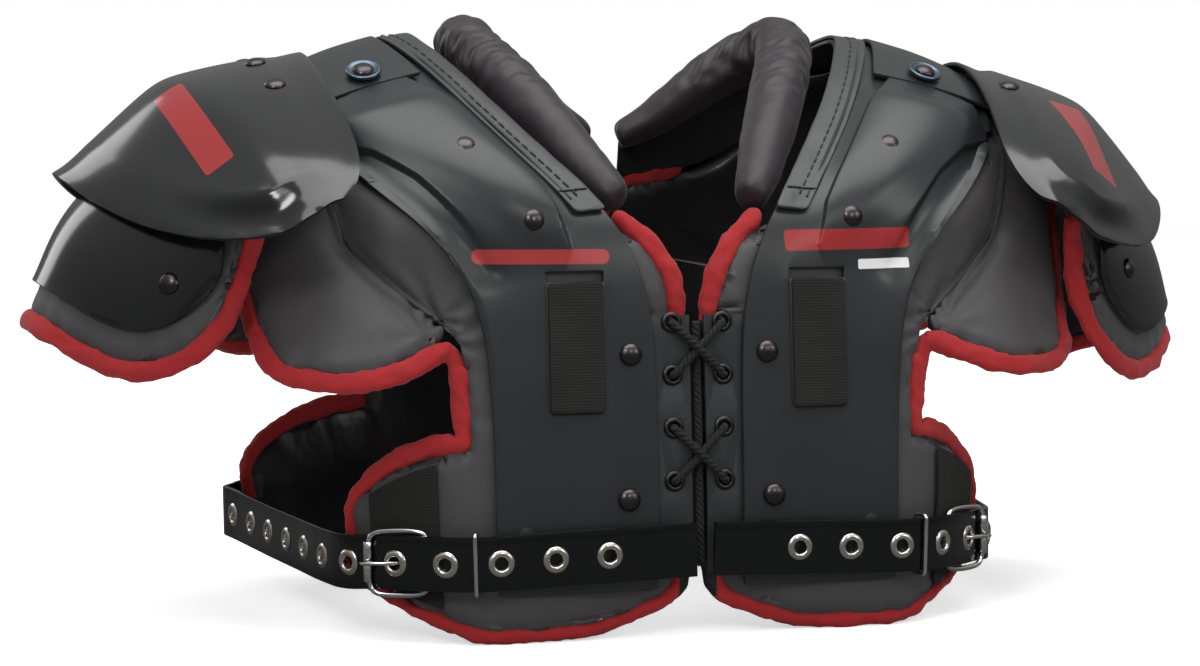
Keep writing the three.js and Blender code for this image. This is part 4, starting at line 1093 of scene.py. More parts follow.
SOFTBOXES = (
    Softbox("top", (0.0, -0.35, 1.7), (2.0, 1.3), 26),
    Softbox("key", (-1.1, -1.5, 1.25), (0.45, 0.45), 9),
    Softbox("fill", (1.4, -1.5, 1.0), (0.6, 0.6), 5),
    Softbox("front", (0.3, -1.7, 0.9), (0.16, 0.28), 2.2),
    Softbox("rim", (-1.2, 1.3, 0.9), (0.6, 1.0), 5),
)


@dataclass
class Studio:
    """A pale floor and soft studio light."""

    aim: Point = (0, 0, 0.15)
    floor_reach: float = 4.0
    floor_glow: float = 0.55
    floor_shade: float = 0.93
    floor_roughness: float = 0.9
    floor_bounce: float = 0.6  # how light the floor is for the light it throws up
    floor_mirrored: float = 0.12  # and for what the pads mirror of it
    glow_low: float = 0.14  # the strength of the room's glow at the horizon
    glow_high: float = 0.75  # and overhead
    glow_rise: float = 0.95  # the upward share of a direction where it is full

    def surroundings(self) -> None:
        """A white view, and a softer glow that the pads reflect."""
        world = bpy.data.worlds.new("studio")
        bpy.context.scene.world = world
        world.use_nodes = True
        nodes, links = world.node_tree.nodes, world.node_tree.links
        nodes.clear()
        path = nodes.new("ShaderNodeLightPath")
        where = nodes.new("ShaderNodeTexCoord")
        split = nodes.new("ShaderNodeSeparateXYZ")
        ramp = nodes.new("ShaderNodeMapRange")
        bounds = (0.0, self.glow_rise, self.glow_low, self.glow_high)
        for socket, value in zip(("From Min", "From Max", "To Min", "To Max"), bounds):
            ramp.inputs[socket].default_value = value
        glow = nodes.new("ShaderNodeBackground")
        view = nodes.new("ShaderNodeBackground")
        view.inputs["Color"].default_value = (1, 1, 1, 1)
        mix = nodes.new("ShaderNodeMixShader")
        output = nodes.new("ShaderNodeOutputWorld")
        links.new(where.outputs["Generated"], split.inputs[0])
        links.new(split.outputs[2], ramp.inputs["Value"])
        links.new(ramp.outputs[0], glow.inputs["Strength"])
        links.new(path.outputs["Is Camera Ray"], mix.inputs[0])
        links.new(glow.outputs[0], mix.inputs[1])
        links.new(view.outputs[0], mix.inputs[2])
        links.new(mix.outputs[0], output.inputs[0])

    def floor_paint(self) -> bpy.types.Material:
        """White paint in the view, and duller for the light and the mirrored rays."""
        paint = bpy.data.materials.new("floor_paint")
        paint.use_nodes = True
        nodes, links = paint.node_tree.nodes, paint.node_tree.links
        shown = nodes["Principled BSDF"]
        shade = self.floor_shade
        shown.inputs["Base Color"].default_value = (shade, shade, shade, 1)
        shown.inputs["Roughness"].default_value = self.floor_roughness
        shown.inputs["Emission Color"].default_value = (1, 1, 1, 1)
        shown.inputs["Emission Strength"].default_value = self.floor_glow
        rays = nodes.new("ShaderNodeLightPath")

        def grey(share: float) -> bpy.types.NodeSocket:
            """A plain matt look."""
            look = nodes.new("ShaderNodeBsdfDiffuse")
            look.inputs["Color"].default_value = (share, share, share, 1)
            return look.outputs[0]

        def either(ray: str, no: object, yes: object) -> bpy.types.NodeSocket:
            """One look for a kind of ray, and another for all the rest."""
            mix = nodes.new("ShaderNodeMixShader")
            for socket, source in zip(mix.inputs, (rays.outputs[ray], no, yes)):
                links.new(source, socket)
            return mix.outputs[0]

        thrown = either("Is Glossy Ray", grey(self.floor_bounce), grey(self.floor_mirrored))
        whole = either("Is Camera Ray", thrown, shown.outputs[0])
        links.new(whole, nodes["Material Output"].inputs[0])
        return paint

    def build(self) -> None:
        """Makes the floor, the lights and the surroundings."""
        bpy.ops.object.select_all(action="DESELECT")
        bpy.ops.mesh.primitive_plane_add(size=2 * self.floor_reach)
        floor = bpy.context.active_object
        floor.name = "floor"
        floor.data.materials.append(self.floor_paint())
        self.surroundings()
        for softbox in SOFTBOXES:
            softbox.build(Vector(self.aim))
        bpy.context.scene.view_settings.view_transform = "Standard"


# The pads

# Where creases run out over a pad's cover, in millimetres on the left half
PINCHES: dict[str, tuple[Point, ...]] = {
    "front": ((118, -92, 136), (122, -86, 146)),
    "back": ((118, 92, 136),),
    "shoulder": ((128, -78, 140), (128, 84, 140)),
    "cap": (),
}


@dataclass
class Shells:
    """The two plastic arches with the straps over them and their neck binding."""

    finishes: Finishes
    stitch_line: float = 8.2 * MM  # from the inner edge of the binding
    welt_line: float = 12.0 * MM
    welt: float = 0.75 * MM
    tack_rows: int = 5
    stitch_length: float = 4.6 * MM
    stitch_gap: float = 1.1 * MM
    thread_radius: float = 0.5 * MM
    groove: float = 0.7 * MM
    step: float = 0.35 * MM  # between the points of a sewn line
    heart: float = 120 * MM  # the height that outwards is taken from
    wave: float = 0.3  # how far the band's vinyl swells and sinks, in MM
    neck_line: tuple[tuple[Point, Point], ...] = (
        ((45, -98, 196), (125, -103, 186)),
        ((66, -73, 220), (143, -90, 204)),
        ((84, -50, 241), (161, -68, 222)),
        ((100, -22, 261), (171, -40, 244)),
        ((111, 8, 274), (175, 2, 254)),
        ((104, 28, 269), (174, 35, 246)),
        ((81, 43, 256), (167, 66, 224)),
        ((51, 54, 240), (153, 85, 196)),
        ((30, 68, 218), (133, 96, 164)),
    )
    plate: tuple[Point, ...] = (
        (162, -50, 240), (124, -37, 255), (105, -54, 236), (87, -77, 216), (68, -98, 194),
        (62, -105, 176), (66, -106, 160), (92, -107, 160), (110, -101, 189), (128, -88, 208),
        (146, -74, 218), (165, -66, 225),
    )
    plate_rise: float = 2.8 * MM
    plate_edge: float = 1.1 * MM  # half the width of its step
    plate_low: float = 162 * MM  # it fades out from plate_high down to here
    plate_high: float = 196 * MM
    front: float = -15 * MM  # the plate and the valley lie before this y
    fine_low: float = 150 * MM  # above this the mesh is refined
    fine_reach: float = 4.5 * MM  # this near the plate's step
    fine_edge: float = 1.1 * MM  # where its edges are longer
    valley: tuple[Point, ...] = (
        (170, -52, 232), (152, -76, 214), (136, -90, 202), (116, -101, 186), (100, -106, 168),
    )
    valley_depth: float = 2.6 * MM
    valley_width: float = 7 * MM
    window_corner: float = 3.2 * MM
    # the radius of the dark cord round the chest window, painted shadow of the window's edge
    window_seam: float = 0.8 * MM
    arches: dict[Side, bpy.types.Object] = field(default_factory=dict)

    def emboss(self, piece: bpy.types.Object, side: Side) -> None:
        """Raises the plate over the collarbone and sinks the valley beside it.

        Args:
            piece: The arch.
            side: Its side.
        """

        def flat(place: Vector) -> Vector:
            """A place as seen along the slope of the collarbone."""
            return Vector((place.x, (place.z + place.y) * math.sqrt(0.5)))

        loop = [flat(side.place(corner)) for corner in self.plate]
        floor = [side.place(point) for point in self.valley]
        corners = list(zip(loop, loop[1:] + loop[:1]))

        def by_the_edge(place: Vector) -> bool:
            """Whether a place lies where the plate steps up."""
            if place.y > self.front or place.z < self.fine_low:
                return False
            spot = flat(place)
            return min(gap_to(spot, a, b) for a, b in corners) < self.fine_reach

        activate(piece)
        bpy.ops.object.mode_set(mode="EDIT")
        bpy.ops.mesh.select_all(action="DESELECT")
        bpy.ops.object.mode_set(mode="OBJECT")
        for edge in piece.data.edges:
            start, end = (piece.data.vertices[k].co for k in edge.vertices)
            long = (start - end).length > self.fine_edge
            edge.select = long and by_the_edge((start + end) / 2)
        bpy.ops.object.mode_set(mode="EDIT")
        bpy.ops.mesh.select_mode(type="EDGE")
        bpy.ops.mesh.subdivide(number_cuts=2, quadcorner="INNERVERT")
        bpy.ops.object.mode_set(mode="OBJECT")

        def raised(place: Vector, normal: Vector) -> Vector:
            """How far a point is raised or sunk."""
            if place.y > self.front:
                return Vector()
            spot = flat(place)
            inside = False
            for a, b in corners:
                if (a.y > spot.y) != (b.y > spot.y):
                    if spot.x < (b.x - a.x) * (spot.y - a.y) / (b.y - a.y) + a.x:
                        inside = not inside
            gap = min(gap_to(spot, a, b) for a, b in corners)
            signed = gap if inside else -gap
            up = eased(signed, -self.plate_edge, self.plate_edge) * self.plate_rise
            up *= eased(place.z, self.plate_low, self.plate_high)
            deep = min(gap_to(place, a, b) for a, b in zip(floor, floor[1:]))
            down = self.valley_depth * math.exp(-((deep / self.valley_width) ** 2))
            return normal * (up - down) * self.outer_side(normal, place)

        shift(piece, raised)

    @staticmethod
    def outer_side(normal: Vector, place: Vector) -> float:
        """One for a shell's outer face and minus one for its inner face."""
        return 1.0 if normal.dot(Vector((0, place.y, 0.12))) > 0 else -1.0

    def arch(self, side: Side) -> bpy.types.Object:
        """The arch: a smooth shell with crisp cut edges.

        Args:
            side: Its side.

        Returns:
            The arch.
        """
        node = f"arch_shell_{side.word}"
        piece = traced(node, f"arch_{side.word}")
        crease(piece, 55, 0.85)
        rounded(piece, 2)
        relaxed(piece, 30, 14)
        rounded(piece, 1)
        self.emboss(piece, side)
        smooth(piece, 40)
        self.arches[side] = piece
        return finish(piece, self.finishes.shell, [node])

    def bridge(self, side: Side) -> bpy.types.Object:
        """The strap over the top that carries the flap."""
        word = side.word
        shell = self.finishes.shell
        return softened(f"bridge_strap_{word}", f"bridge_{word}", shell, 0.8)

    def binding(self, side: Side) -> bpy.types.Object:
        """The band along the neck edge.

        Args:
            side: Its side.

        Returns:
            The band.
        """
        node = f"neck_binding_{side.word}"
        piece = traced(node, f"binding_{side.word}")
        crease(piece, 50, 0.45)
        rounded(piece, 3)
        outside = surface_of(piece)
        lines = [
            self.sewn_along(side, outside, self.stitch_line),
            self.sewn_along(side, outside, self.welt_line),
        ]
        tree = tree_of([point for line in lines for point in line])

        def press(place: Vector, normal: Vector) -> Vector:
            """How far the thread pulls a point in."""
            away = tree.find(place)[2]
            sunk = self.groove * math.exp(-((away / (1.5 * MM)) ** 2))
            return normal * (noise.noise(place * 90) * self.wave * MM - sunk)

        shift(piece, press)
        smooth(piece, 60)
        return finish(piece, self.finishes.binding, [node])

    def sewn_along(self, side: Side, outside: BVHTree, distance: float) -> list[Vector]:
        """A line along the band, seen from outside.

        Args:
            side: The side of the band.
            outside: The band's surface.
            distance: How far from the inner edge the line lies.

        Returns:
            Points on the band, a third of a millimetre apart.
        """
        row = []
        for inner, edge in self.neck_line:
            start, end = side.place(inner), side.place(edge)
            point = start + (end - start).normalized() * distance
            out = Vector((0, point.y, point.z - self.heart)).normalized()
            hit = outside.ray_cast(point + out * 20 * MM, -out, 40 * MM)[0]
            if hit is None:
                hit = outside.find_nearest(point + out * 4 * MM)[0]
            row.append(hit)
        return curve_through(row, self.step)

    def stitches(self, side: Side, band: bpy.types.Object) -> bpy.types.Object:
        """The thread sewn through the band, and the tacks across its ends.

        Args:
            side: Its side.
            band: The band.

        Returns:
            The cord beside the stitches.
        """
        tree = surface_of(band)
        shape = bmesh.new()
        line = self.sewn_along(side, tree, self.stitch_line)
        each = round((self.stitch_length + self.stitch_gap) / self.step)
        long = round(self.stitch_length / self.step)
        for start_at in range(each, len(line) - 2 * each, each):
            self.stitch(shape, tree, line[start_at], line[start_at + long])
        near = self.sewn_along(side, tree, self.stitch_line - 6 * MM)
        far = self.sewn_along(side, tree, self.welt_line + 2 * MM)
        for share in (0.035, 0.965):
            a, b = near[round(share * len(near))], far[round(share * len(far))]
            for row in range(self.tack_rows):
                first, last = row / self.tack_rows, (row + 0.8) / self.tack_rows
                self.stitch(shape, tree, a.lerp(b, first), a.lerp(b, last))
        mesh = bpy.data.meshes.new("stitches")
        shape.to_mesh(mesh)
        shape.free()
        piece = linked(f"binding_stitches_{side.word}", mesh)
        smooth(piece)
        finish(piece, self.finishes.thread)
        path = self.sewn_along(side, tree, self.welt_line)[12:-12:3]
        cord = swept(
            f"binding_welt_{side.word}", path, [Vector((0, 0, 1))] * len(path),
            circle(self.welt, 8),
        )
        smooth(cord)
        return finish(cord, self.finishes.thread)

    def stitch(self, shape: bmesh.types.BMesh, tree: BVHTree, a: Vector, b: Vector) -> None:
        """One stitch, a short thread that dips into the band at both ends.

        Args:
            shape: What the stitch is added to.
            tree: The band's surface.
            a: Where it starts.
            b: Where it ends.
        """
        middle = (a + b) / 2
        out = Vector((0, middle.y, middle.z - self.heart)).normalized()
        place, normal, _, _ = tree.ray_cast(middle + out * 9 * MM, -out, 20 * MM)
        if place is None:
            return
        along = (b - a).normalized()
        across = normal.cross(along).normalized()
        radius = self.thread_radius
        rings = []
        for t, girth, lift in ((0, 0.5, -0.2), (0.2, 1, 0.5), (0.8, 1, 0.5), (1, 0.5, -0.2)):
            core = place + along * ((t - 0.5) * self.stitch_length) + normal * (lift * radius)
            ring = []
            for k in range(6):
                turn = math.pi * k / 3
                spoke = across * math.cos(turn) + normal * math.sin(turn)
                ring.append(shape.verts.new(core + spoke * radius * girth))
            rings.append(ring)
        for near, far in zip(rings, rings[1:]):
            for k in range(6):
                after = (k + 1) % 6
                shape.faces.new((near[k], near[after], far[after], far[k]))
        shape.faces.new(rings[0][::-1])
        shape.faces.new(rings[-1])

    def build(self) -> None:
        """Builds both sides."""
        for side in Side:
            self.arch(side)
            self.bridge(side)
            self.stitches(side, self.binding(side))
            self.elastic(side)

    def elastic(self, side: Side) -> None:
        """The elastic on the chest, and a dark cord round the window that it comes out of: painted
        shadow of the window's edge.

        Args:
            side: Its side.
        """
        node, name = f"chest_webbing_{side.word}", f"chest_elastic_{side.word}"
        softened(node, name, self.finishes.webbing, levels=3)
        low, high = (Vector(corner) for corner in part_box(node))
        chest = surface_of(self.arches[side])
        corner, seat = self.window_corner, self.window_seam * 0.4
        middle, half = (low + high) / 2, (high - low) / 2
        half.x, half.z = half.x + 0.5 * MM, half.z + 0.5 * MM
        path = []
        for quarter, (way_x, way_z) in enumerate(((1, 1), (-1, 1), (-1, -1), (1, -1))):
            for step in range(6):
                turn = (quarter + step / 5) * math.pi / 2
                x = middle.x + way_x * (half.x - corner) + corner * math.cos(turn)
                z = middle.z + way_z * (half.z - corner) + corner * math.sin(turn)
                start = Vector((x, low.y - 20 * MM, z))
                place = chest.ray_cast(start, Vector((0, 1, 0)))[0]
                path.append(place - Vector((0, seat, 0)))
        ups = [Vector((0, -1, 0))] * len(path)
        # a dark cord in the black thread finish round the window: painted shadow of the window's edge
        # on the elastic
        shadow_ring = swept(
            f"window_seam_{side.word}", path, ups, circle(self.window_seam, 8), True
        )
        smooth(shadow_ring)
        finish(shadow_ring, self.finishes.thread)


@dataclass
class ArmGuards:
    """The flaps and caps over the shoulders."""

    finishes: Finishes
    view: Viewpoint
    flap_rivets: dict[Side, tuple[tuple[float, float], ...]] = field(
        default_factory=lambda: {
            Side.RIGHT: ((255, 63), (275, 84)),
            Side.LEFT: ((1009, 86),),
        }
    )
    flaps: dict[Side, bpy.types.Object] = field(default_factory=dict)
    caps: dict[Side, bpy.types.Object] = field(default_factory=dict)
    ridge_from: float = 160 * MM  # from the middle of the pads
    ridge_to: float = 204 * MM
    flange: float = 19 * MM
    flange_depth: float = 3.0 * MM
    swell: float = 0.45  # how far the ridge behind the flange stands out, by its depth
    swell_start: float = 1.2 * MM
    swell_fade: float = 3 * MM
    tip_from: float = 212 * MM
    tip_to: float = 240 * MM
    tip_flat: float = 0.9  # how much of the flange is gone at the tip
    cap_flange: float = 4 * MM
    cap_depth: float = 0.7 * MM
    heart: float = 60 * MM  # how far below its middle a plate faces away from

    def guard(self, node: str, name: str, flange: float, depth: float) -> bpy.types.Object:
        """A glossy moulded plate with a hollow flange along its rim.

        Args:
            node: The node that it replaces.
            name: Its name.
            flange: How wide its flange is.
            depth: How hollow the flange is.

        Returns:
            The plate.
        """
        piece = traced(node, name)
        rim = cut_edges(piece, 55)
        crease(piece, 55, 0.8)
        rounded(piece, 2)
        relaxed(piece, 30, 10)
        rounded(piece, 1)
        centre = sum((v.co for v in piece.data.vertices), Vector()) / len(piece.data.vertices)
        hollow = centre + Vector((0, 0, -self.heart))

        def sink(place: Vector, normal: Vector) -> Vector:
            """How far a point of the flange is sunk."""
            away = rim.find(place)[2]
            reach = abs(place.x - MIRROR_X)
            outer = eased(reach, self.ridge_from, self.ridge_to)
            outer *= 1 - self.tip_flat * eased(reach, self.tip_from, self.tip_to)
            past = away - flange
            if past < 0:
                profile = -math.sin(math.pi * away / flange) ** 1.3
            else:
                profile = self.swell * math.exp(-past / self.swell_fade)
                profile *= min(1.0, past / self.swell_start)
            facing = 1 if normal.dot(place - hollow) > 0 else -1
            return normal * depth * profile * outer * facing

        shift(piece, sink)
        smooth(piece, 40)
        return finish(piece, self.finishes.gloss, [node])

    def build(self) -> None:
        """Builds both sides."""
        for side in Side:
            word = side.word
            self.flaps[side] = self.guard(
                f"shoulder_flap_{word}", f"flap_{word}", self.flange, self.flange_depth
            )
            self.caps[side] = self.guard(
                f"shoulder_cap_{word}", f"cap_{word}", self.cap_flange, self.cap_depth
            )


@dataclass
class Padding:
    """The foam pads in their nylon covers and the red tape round them."""

    finishes: Finishes
    shells: Shells
    guards: ArmGuards
    pressure: float = 4.0
    body_swell: float = 2.6 * MM
    lobe_swell: float = 5.0 * MM
    cap_swell: float = 3.0 * MM
    clear: float = 0.35 * MM
    held: float = 6.0 * MM  # from the tape, where the cover is sewn down
    tape_groove: float = 0.9 * MM
    seam_groove: float = 2.4 * MM
    # where the red tape lies behind the laces, this near the middle and up to this height, it gets
    # the black lining as painted shade
    painted_shade_reach: float = 9 * MM
    painted_shade_top: float = 143 * MM
    tape_half: tuple[float, float] = (4.6 * MM, 3.4 * MM)
    frames: int = 20  # of the simulation
    creases: int = 9  # round each place that they run out from

    def swell(self, piece: bpy.types.Object, seams: BVHTree, cap: float) -> None:
        """Blows a pad's cover up over its foam, held where it is sewn to its tape.

        Args:
            piece: The pad.
            seams: The tape and the pads that it is sewn to.
            cap: How far a point may move at most.
        """
        sewn = piece.vertex_groups.new(name="sewn")
        for vertex in piece.data.vertices:
            _, _, _, distance = seams.find_nearest(vertex.co, 2 * self.held)
            share = 1.0 if distance is None else min(1.0, distance / self.held)
            sewn.add([vertex.index], 1.0 - share, "REPLACE")
        before = [v.co.copy() for v in piece.data.vertices]
        cloth = piece.modifiers.new("Cloth", "CLOTH")
        cloth.settings.use_pressure = True
        cloth.settings.uniform_pressure_force = self.pressure
        cloth.settings.vertex_group_mass = sewn.name
        cloth.settings.effector_weights.gravity = 0
        cloth.settings.quality = 4
        cloth.collision_settings.use_collision = False
        scene = bpy.context.scene
        for frame in range(1, self.frames + 1):
            scene.frame_set(frame)
        activate(piece)
        bpy.ops.object.modifier_apply(modifier=cloth.name)
        scene.frame_set(1)
        for vertex, rest in zip(piece.data.vertices, before):
            offset = vertex.co - rest
            if offset.length > cap:
                vertex.co = rest + offset.normalized() * cap
        piece.vertex_groups.clear()
        piece.data.update()

    def tuck(self, piece: bpy.types.Object, seams: BVHTree, reach: float, into: float) -> None:
        """Draws a pad's rim to what it is sewn to.

        Args:
            piece: The pad.
            seams: What it is sewn to.
            reach: How near a point lies that is drawn.
            into: How far it ends inside.
        """

        def draw(place: Vector, normal: Vector) -> Vector:
            """How far a point of the rim is drawn."""
            nearest, _, _, distance = seams.find_nearest(place, reach)
            if nearest is None or distance < 1e-6:
                return Vector()
            way = (nearest - place) / distance
            facing = max(0.0, normal.dot(way)) ** 0.5
            fade = min(1.0, 2 * (1 - distance / reach))
            return way * (distance + into) * facing * fade

        shift(piece, draw)

    def keep_clear(self, piece: bpy.types.Object, tree: BVHTree) -> None:
        """Presses a pad back where it comes too near its neighbours.

        Args:
            piece: The pad.
            tree: Its neighbours.
        """

        def press(place: Vector, normal: Vector) -> Vector:
            """How far a point is pressed in."""
            nearest, _, _, distance = tree.find_nearest(place, 4 * MM)
            if nearest is None:
                return Vector()
            into = normal.dot(nearest - place) > 0
            room = distance if into else -distance
            return -normal * max(0.0, self.clear - room) if room < self.clear else Vector()

        shift(piece, press)

    def pucker(
        self,
        piece: bpy.types.Object,
        tapes: BVHTree,
        beside: BVHTree | None,
        depth: float,
        pinches: Sequence[Vector],
    ) -> None:
        """Gathers a pad's cover along its seams and creases it softly.

        Args:
            piece: The pad.
            tapes: The tape that gathers it.
            beside: The pads that it is sewn to, if any.
            depth: How deep the gathers are.
            pinches: The places that creases run out from.
        """

        def gather(place: Vector, normal: Vector) -> Vector:
            """How far a point stands out or lies in."""
            nearest, _, _, distance = tapes.find_nearest(place, 60 * MM)
            if nearest is None:
                nearest, distance = place, 60 * MM
            tight = noise.noise(nearest * 190) * math.exp(-distance / (5 * MM))
            long = noise.noise(nearest * 75) * math.exp(-distance / (22 * MM)) * 0.9
            soft = noise.noise(place * 30) * 0.6
            crease = 0.0
            for pinch in pinches:
                away = place - pinch
                turn = self.creases * math.atan2(away.z, away.x)
                fold = math.sin(turn + 3 * noise.noise(place * 40))
                crease += fold * math.exp(-away.length / (17 * MM)) * 1.2
            rim = min(1.0, distance / (1.5 * MM))
            sewn = self.tape_groove * math.exp(-(((distance - 2 * MM) / (2.2 * MM)) ** 2))
            if beside is not None:
                close, _, _, room = beside.find_nearest(place, 16 * MM)
                if close is not None and room > 1e-6:
                    across = 1 - abs(normal.dot((close - place) / room))
                    sewn += self.seam_groove * across * math.exp(-((room / (5 * MM)) ** 2))
                    tight += noise.noise(close * 150) * math.exp(-room / (7 * MM)) * 0.35
            return normal * (depth * rim * (tight + long + soft + crease) - sewn)

        shift(piece, gather)

    def line_inside(self, piece: bpy.types.Object) -> None:
        """Gives the faces that look at the wearer the smooth lining."""
        piece.data.materials.append(self.finishes.padding)
        piece.data.materials.append(self.finishes.lining)
        for face in piece.data.polygons:
            inwards = Vector((-face.center.x * 0.8, -face.center.y, 0.11 - face.center.z))
            if face.normal.dot(inwards.normalized()) > 0.25:
                face.material_index = 1

    def pad(
        self,
        part: str,
        side: Side,
        swell: float,
        over: BVHTree,
        tape: bpy.types.Object,
        sewn_to: Sequence[str],
    ) -> None:
        """One pad.

        Args:
            part: Which pad it is.
            side: Its side.
            swell: How far its cover may swell.
            over: The neighbours that it stays clear of.
            tape: The tape round it.
            sewn_to: The nodes of the pads that it is sewn to.
        """
        node = f"{part}_pad_{side.word}"
        piece = traced(node, f"{part}_cushion_{side.word}")
        crease(piece, 50, 0.55)
        rounded(piece, 2)
        relaxed(piece, 45, 16)
        tapes = surface_of(tape)
        pads = [bpy.data.objects[name] for name in sewn_to]
        self.swell(piece, surface_of(tape, *pads), swell)
        rounded(piece, 1)
        neighbours = surface_of(*pads) if pads else None
        self.pucker(piece, tapes, neighbours, 1.5 * MM, [side.place(spot) for spot in PINCHES[part]])
        self.keep_clear(piece, over)
        self.tuck(piece, tapes, 6 * MM, 1.0 * MM)
        if pads:
            self.tuck(piece, surface_of(*pads), 2.4 * MM, 0.1 * MM)
        self.line_inside(piece)
        smooth(piece)
        finish(piece, self.finishes.padding, [node])

    def tape(self, node: str, name: str) -> bpy.types.Object:
        """The folded red tape along an edge, with small puckers, painted black as shade where it lies
        behind the laces.

        Args:
            node: The node that it replaces.
            name: Its name.

        Returns:
            The tape.
        """
        piece = traced(node, name)
        rounded(piece, 3)
        crinkled(piece, ((240, 0.9), (100, 1.0), (35, 0.6)))
        smooth(piece)
        piece.data.materials.append(self.finishes.piping)
        piece.data.materials.append(self.finishes.lining)
        # faces behind the laces, where the red tape lies in shade between the tabs, get the black
        # lining: painted shade
        for face in piece.data.polygons:
            in_painted_shade = abs(face.center.x - MIRROR_X) < self.painted_shade_reach
            if in_painted_shade and face.center.z < self.painted_shade_top and face.center.z > 12 * MM:
                face.material_index = 1
        return finish(piece, self.finishes.piping, [node])

    def corner(self, side: Side, end: str, first: bpy.types.Object, second: bpy.types.Object) -> None:
        """The tape's turn under the arm, between the ends of two tapes.

        Args:
            side: Its side.
            end: Front or back.
            first: The tape of the shoulder pad.
            second: The tape of the front or back pad.
        """
        tree = surface_of(second)
        spots = [v.co for v in first.data.vertices if (v.co.y < 0) == (end == "front")]
        tip = min(spots, key=lambda spot: tree.find_nearest(spot)[3])
        other = tree.find_nearest(tip)[0]
        route: list[Vector] = []
        for tape, start, order in ((first, tip, -1), (second, other, 1)):
            rings = []
            for near, far in ((0, 9), (9, 17)):
                ring = [
                    v.co for v in tape.data.vertices
                    if near * MM <= (v.co - start).length < far * MM
                ]
                rings.append(sum(ring, Vector()) / len(ring))
            route += rings[::order]
        away = (route[1] + route[2]) / 2 - (route[0] + route[3]) / 2
        path = curve_through(
            [route[0], route[1], (route[1] + route[2]) / 2 + away * 0.25, *route[2:]], 1.2 * MM
        )
        cloud = np.array([tuple(point) for point in path])
        up = Vector(np.linalg.svd(cloud - cloud.mean(0))[2][2])
        section = [
            (self.tape_half[0] * math.cos(turn), self.tape_half[1] * math.sin(turn))
            for turn in (2 * math.pi * k / 16 for k in range(16))
        ]
        piece = swept(f"{end}_tape_turn_{side.word}", path, [up] * len(path), section)
        rounded(piece, 1)
        crinkled(piece, ((260, 0.5), (95, 0.8)))
        smooth(piece)
        finish(piece, self.finishes.piping)

    def build(self) -> None:
        """Builds every pad and tape."""
        for side in Side:
            word = side.word
            tapes = {
                part: self.tape(f"{part}_piping_{word}", f"{part}_tape_{word}")
                for part in ("front", "back", "shoulder", "cap")
            }
            for end in ("front", "back"):
                self.corner(side, end, tapes["shoulder"], tapes[end])
            shell = self.shells.arches[side]
            tabs = [bpy.data.objects[f"{end}_lace_tab_{word}"] for end in ("front", "back")]
            over = surface_of(shell, *tabs, bpy.data.objects[f"side_webbing_{word}"])
            guards = surface_of(self.guards.caps[side], self.guards.flaps[side])
            lobe, bodies = f"shoulder_pad_{word}", [f"front_pad_{word}", f"back_pad_{word}"]
            for part in ("front", "back"):
                self.pad(part, side, self.body_swell, over, tapes[part], [lobe])
            bare = surface_of(shell)
            self.pad("shoulder", side, self.lobe_swell, bare, tapes["shoulder"], bodies)
            self.pad("cap", side, self.cap_swell, guards, tapes["cap"], [])


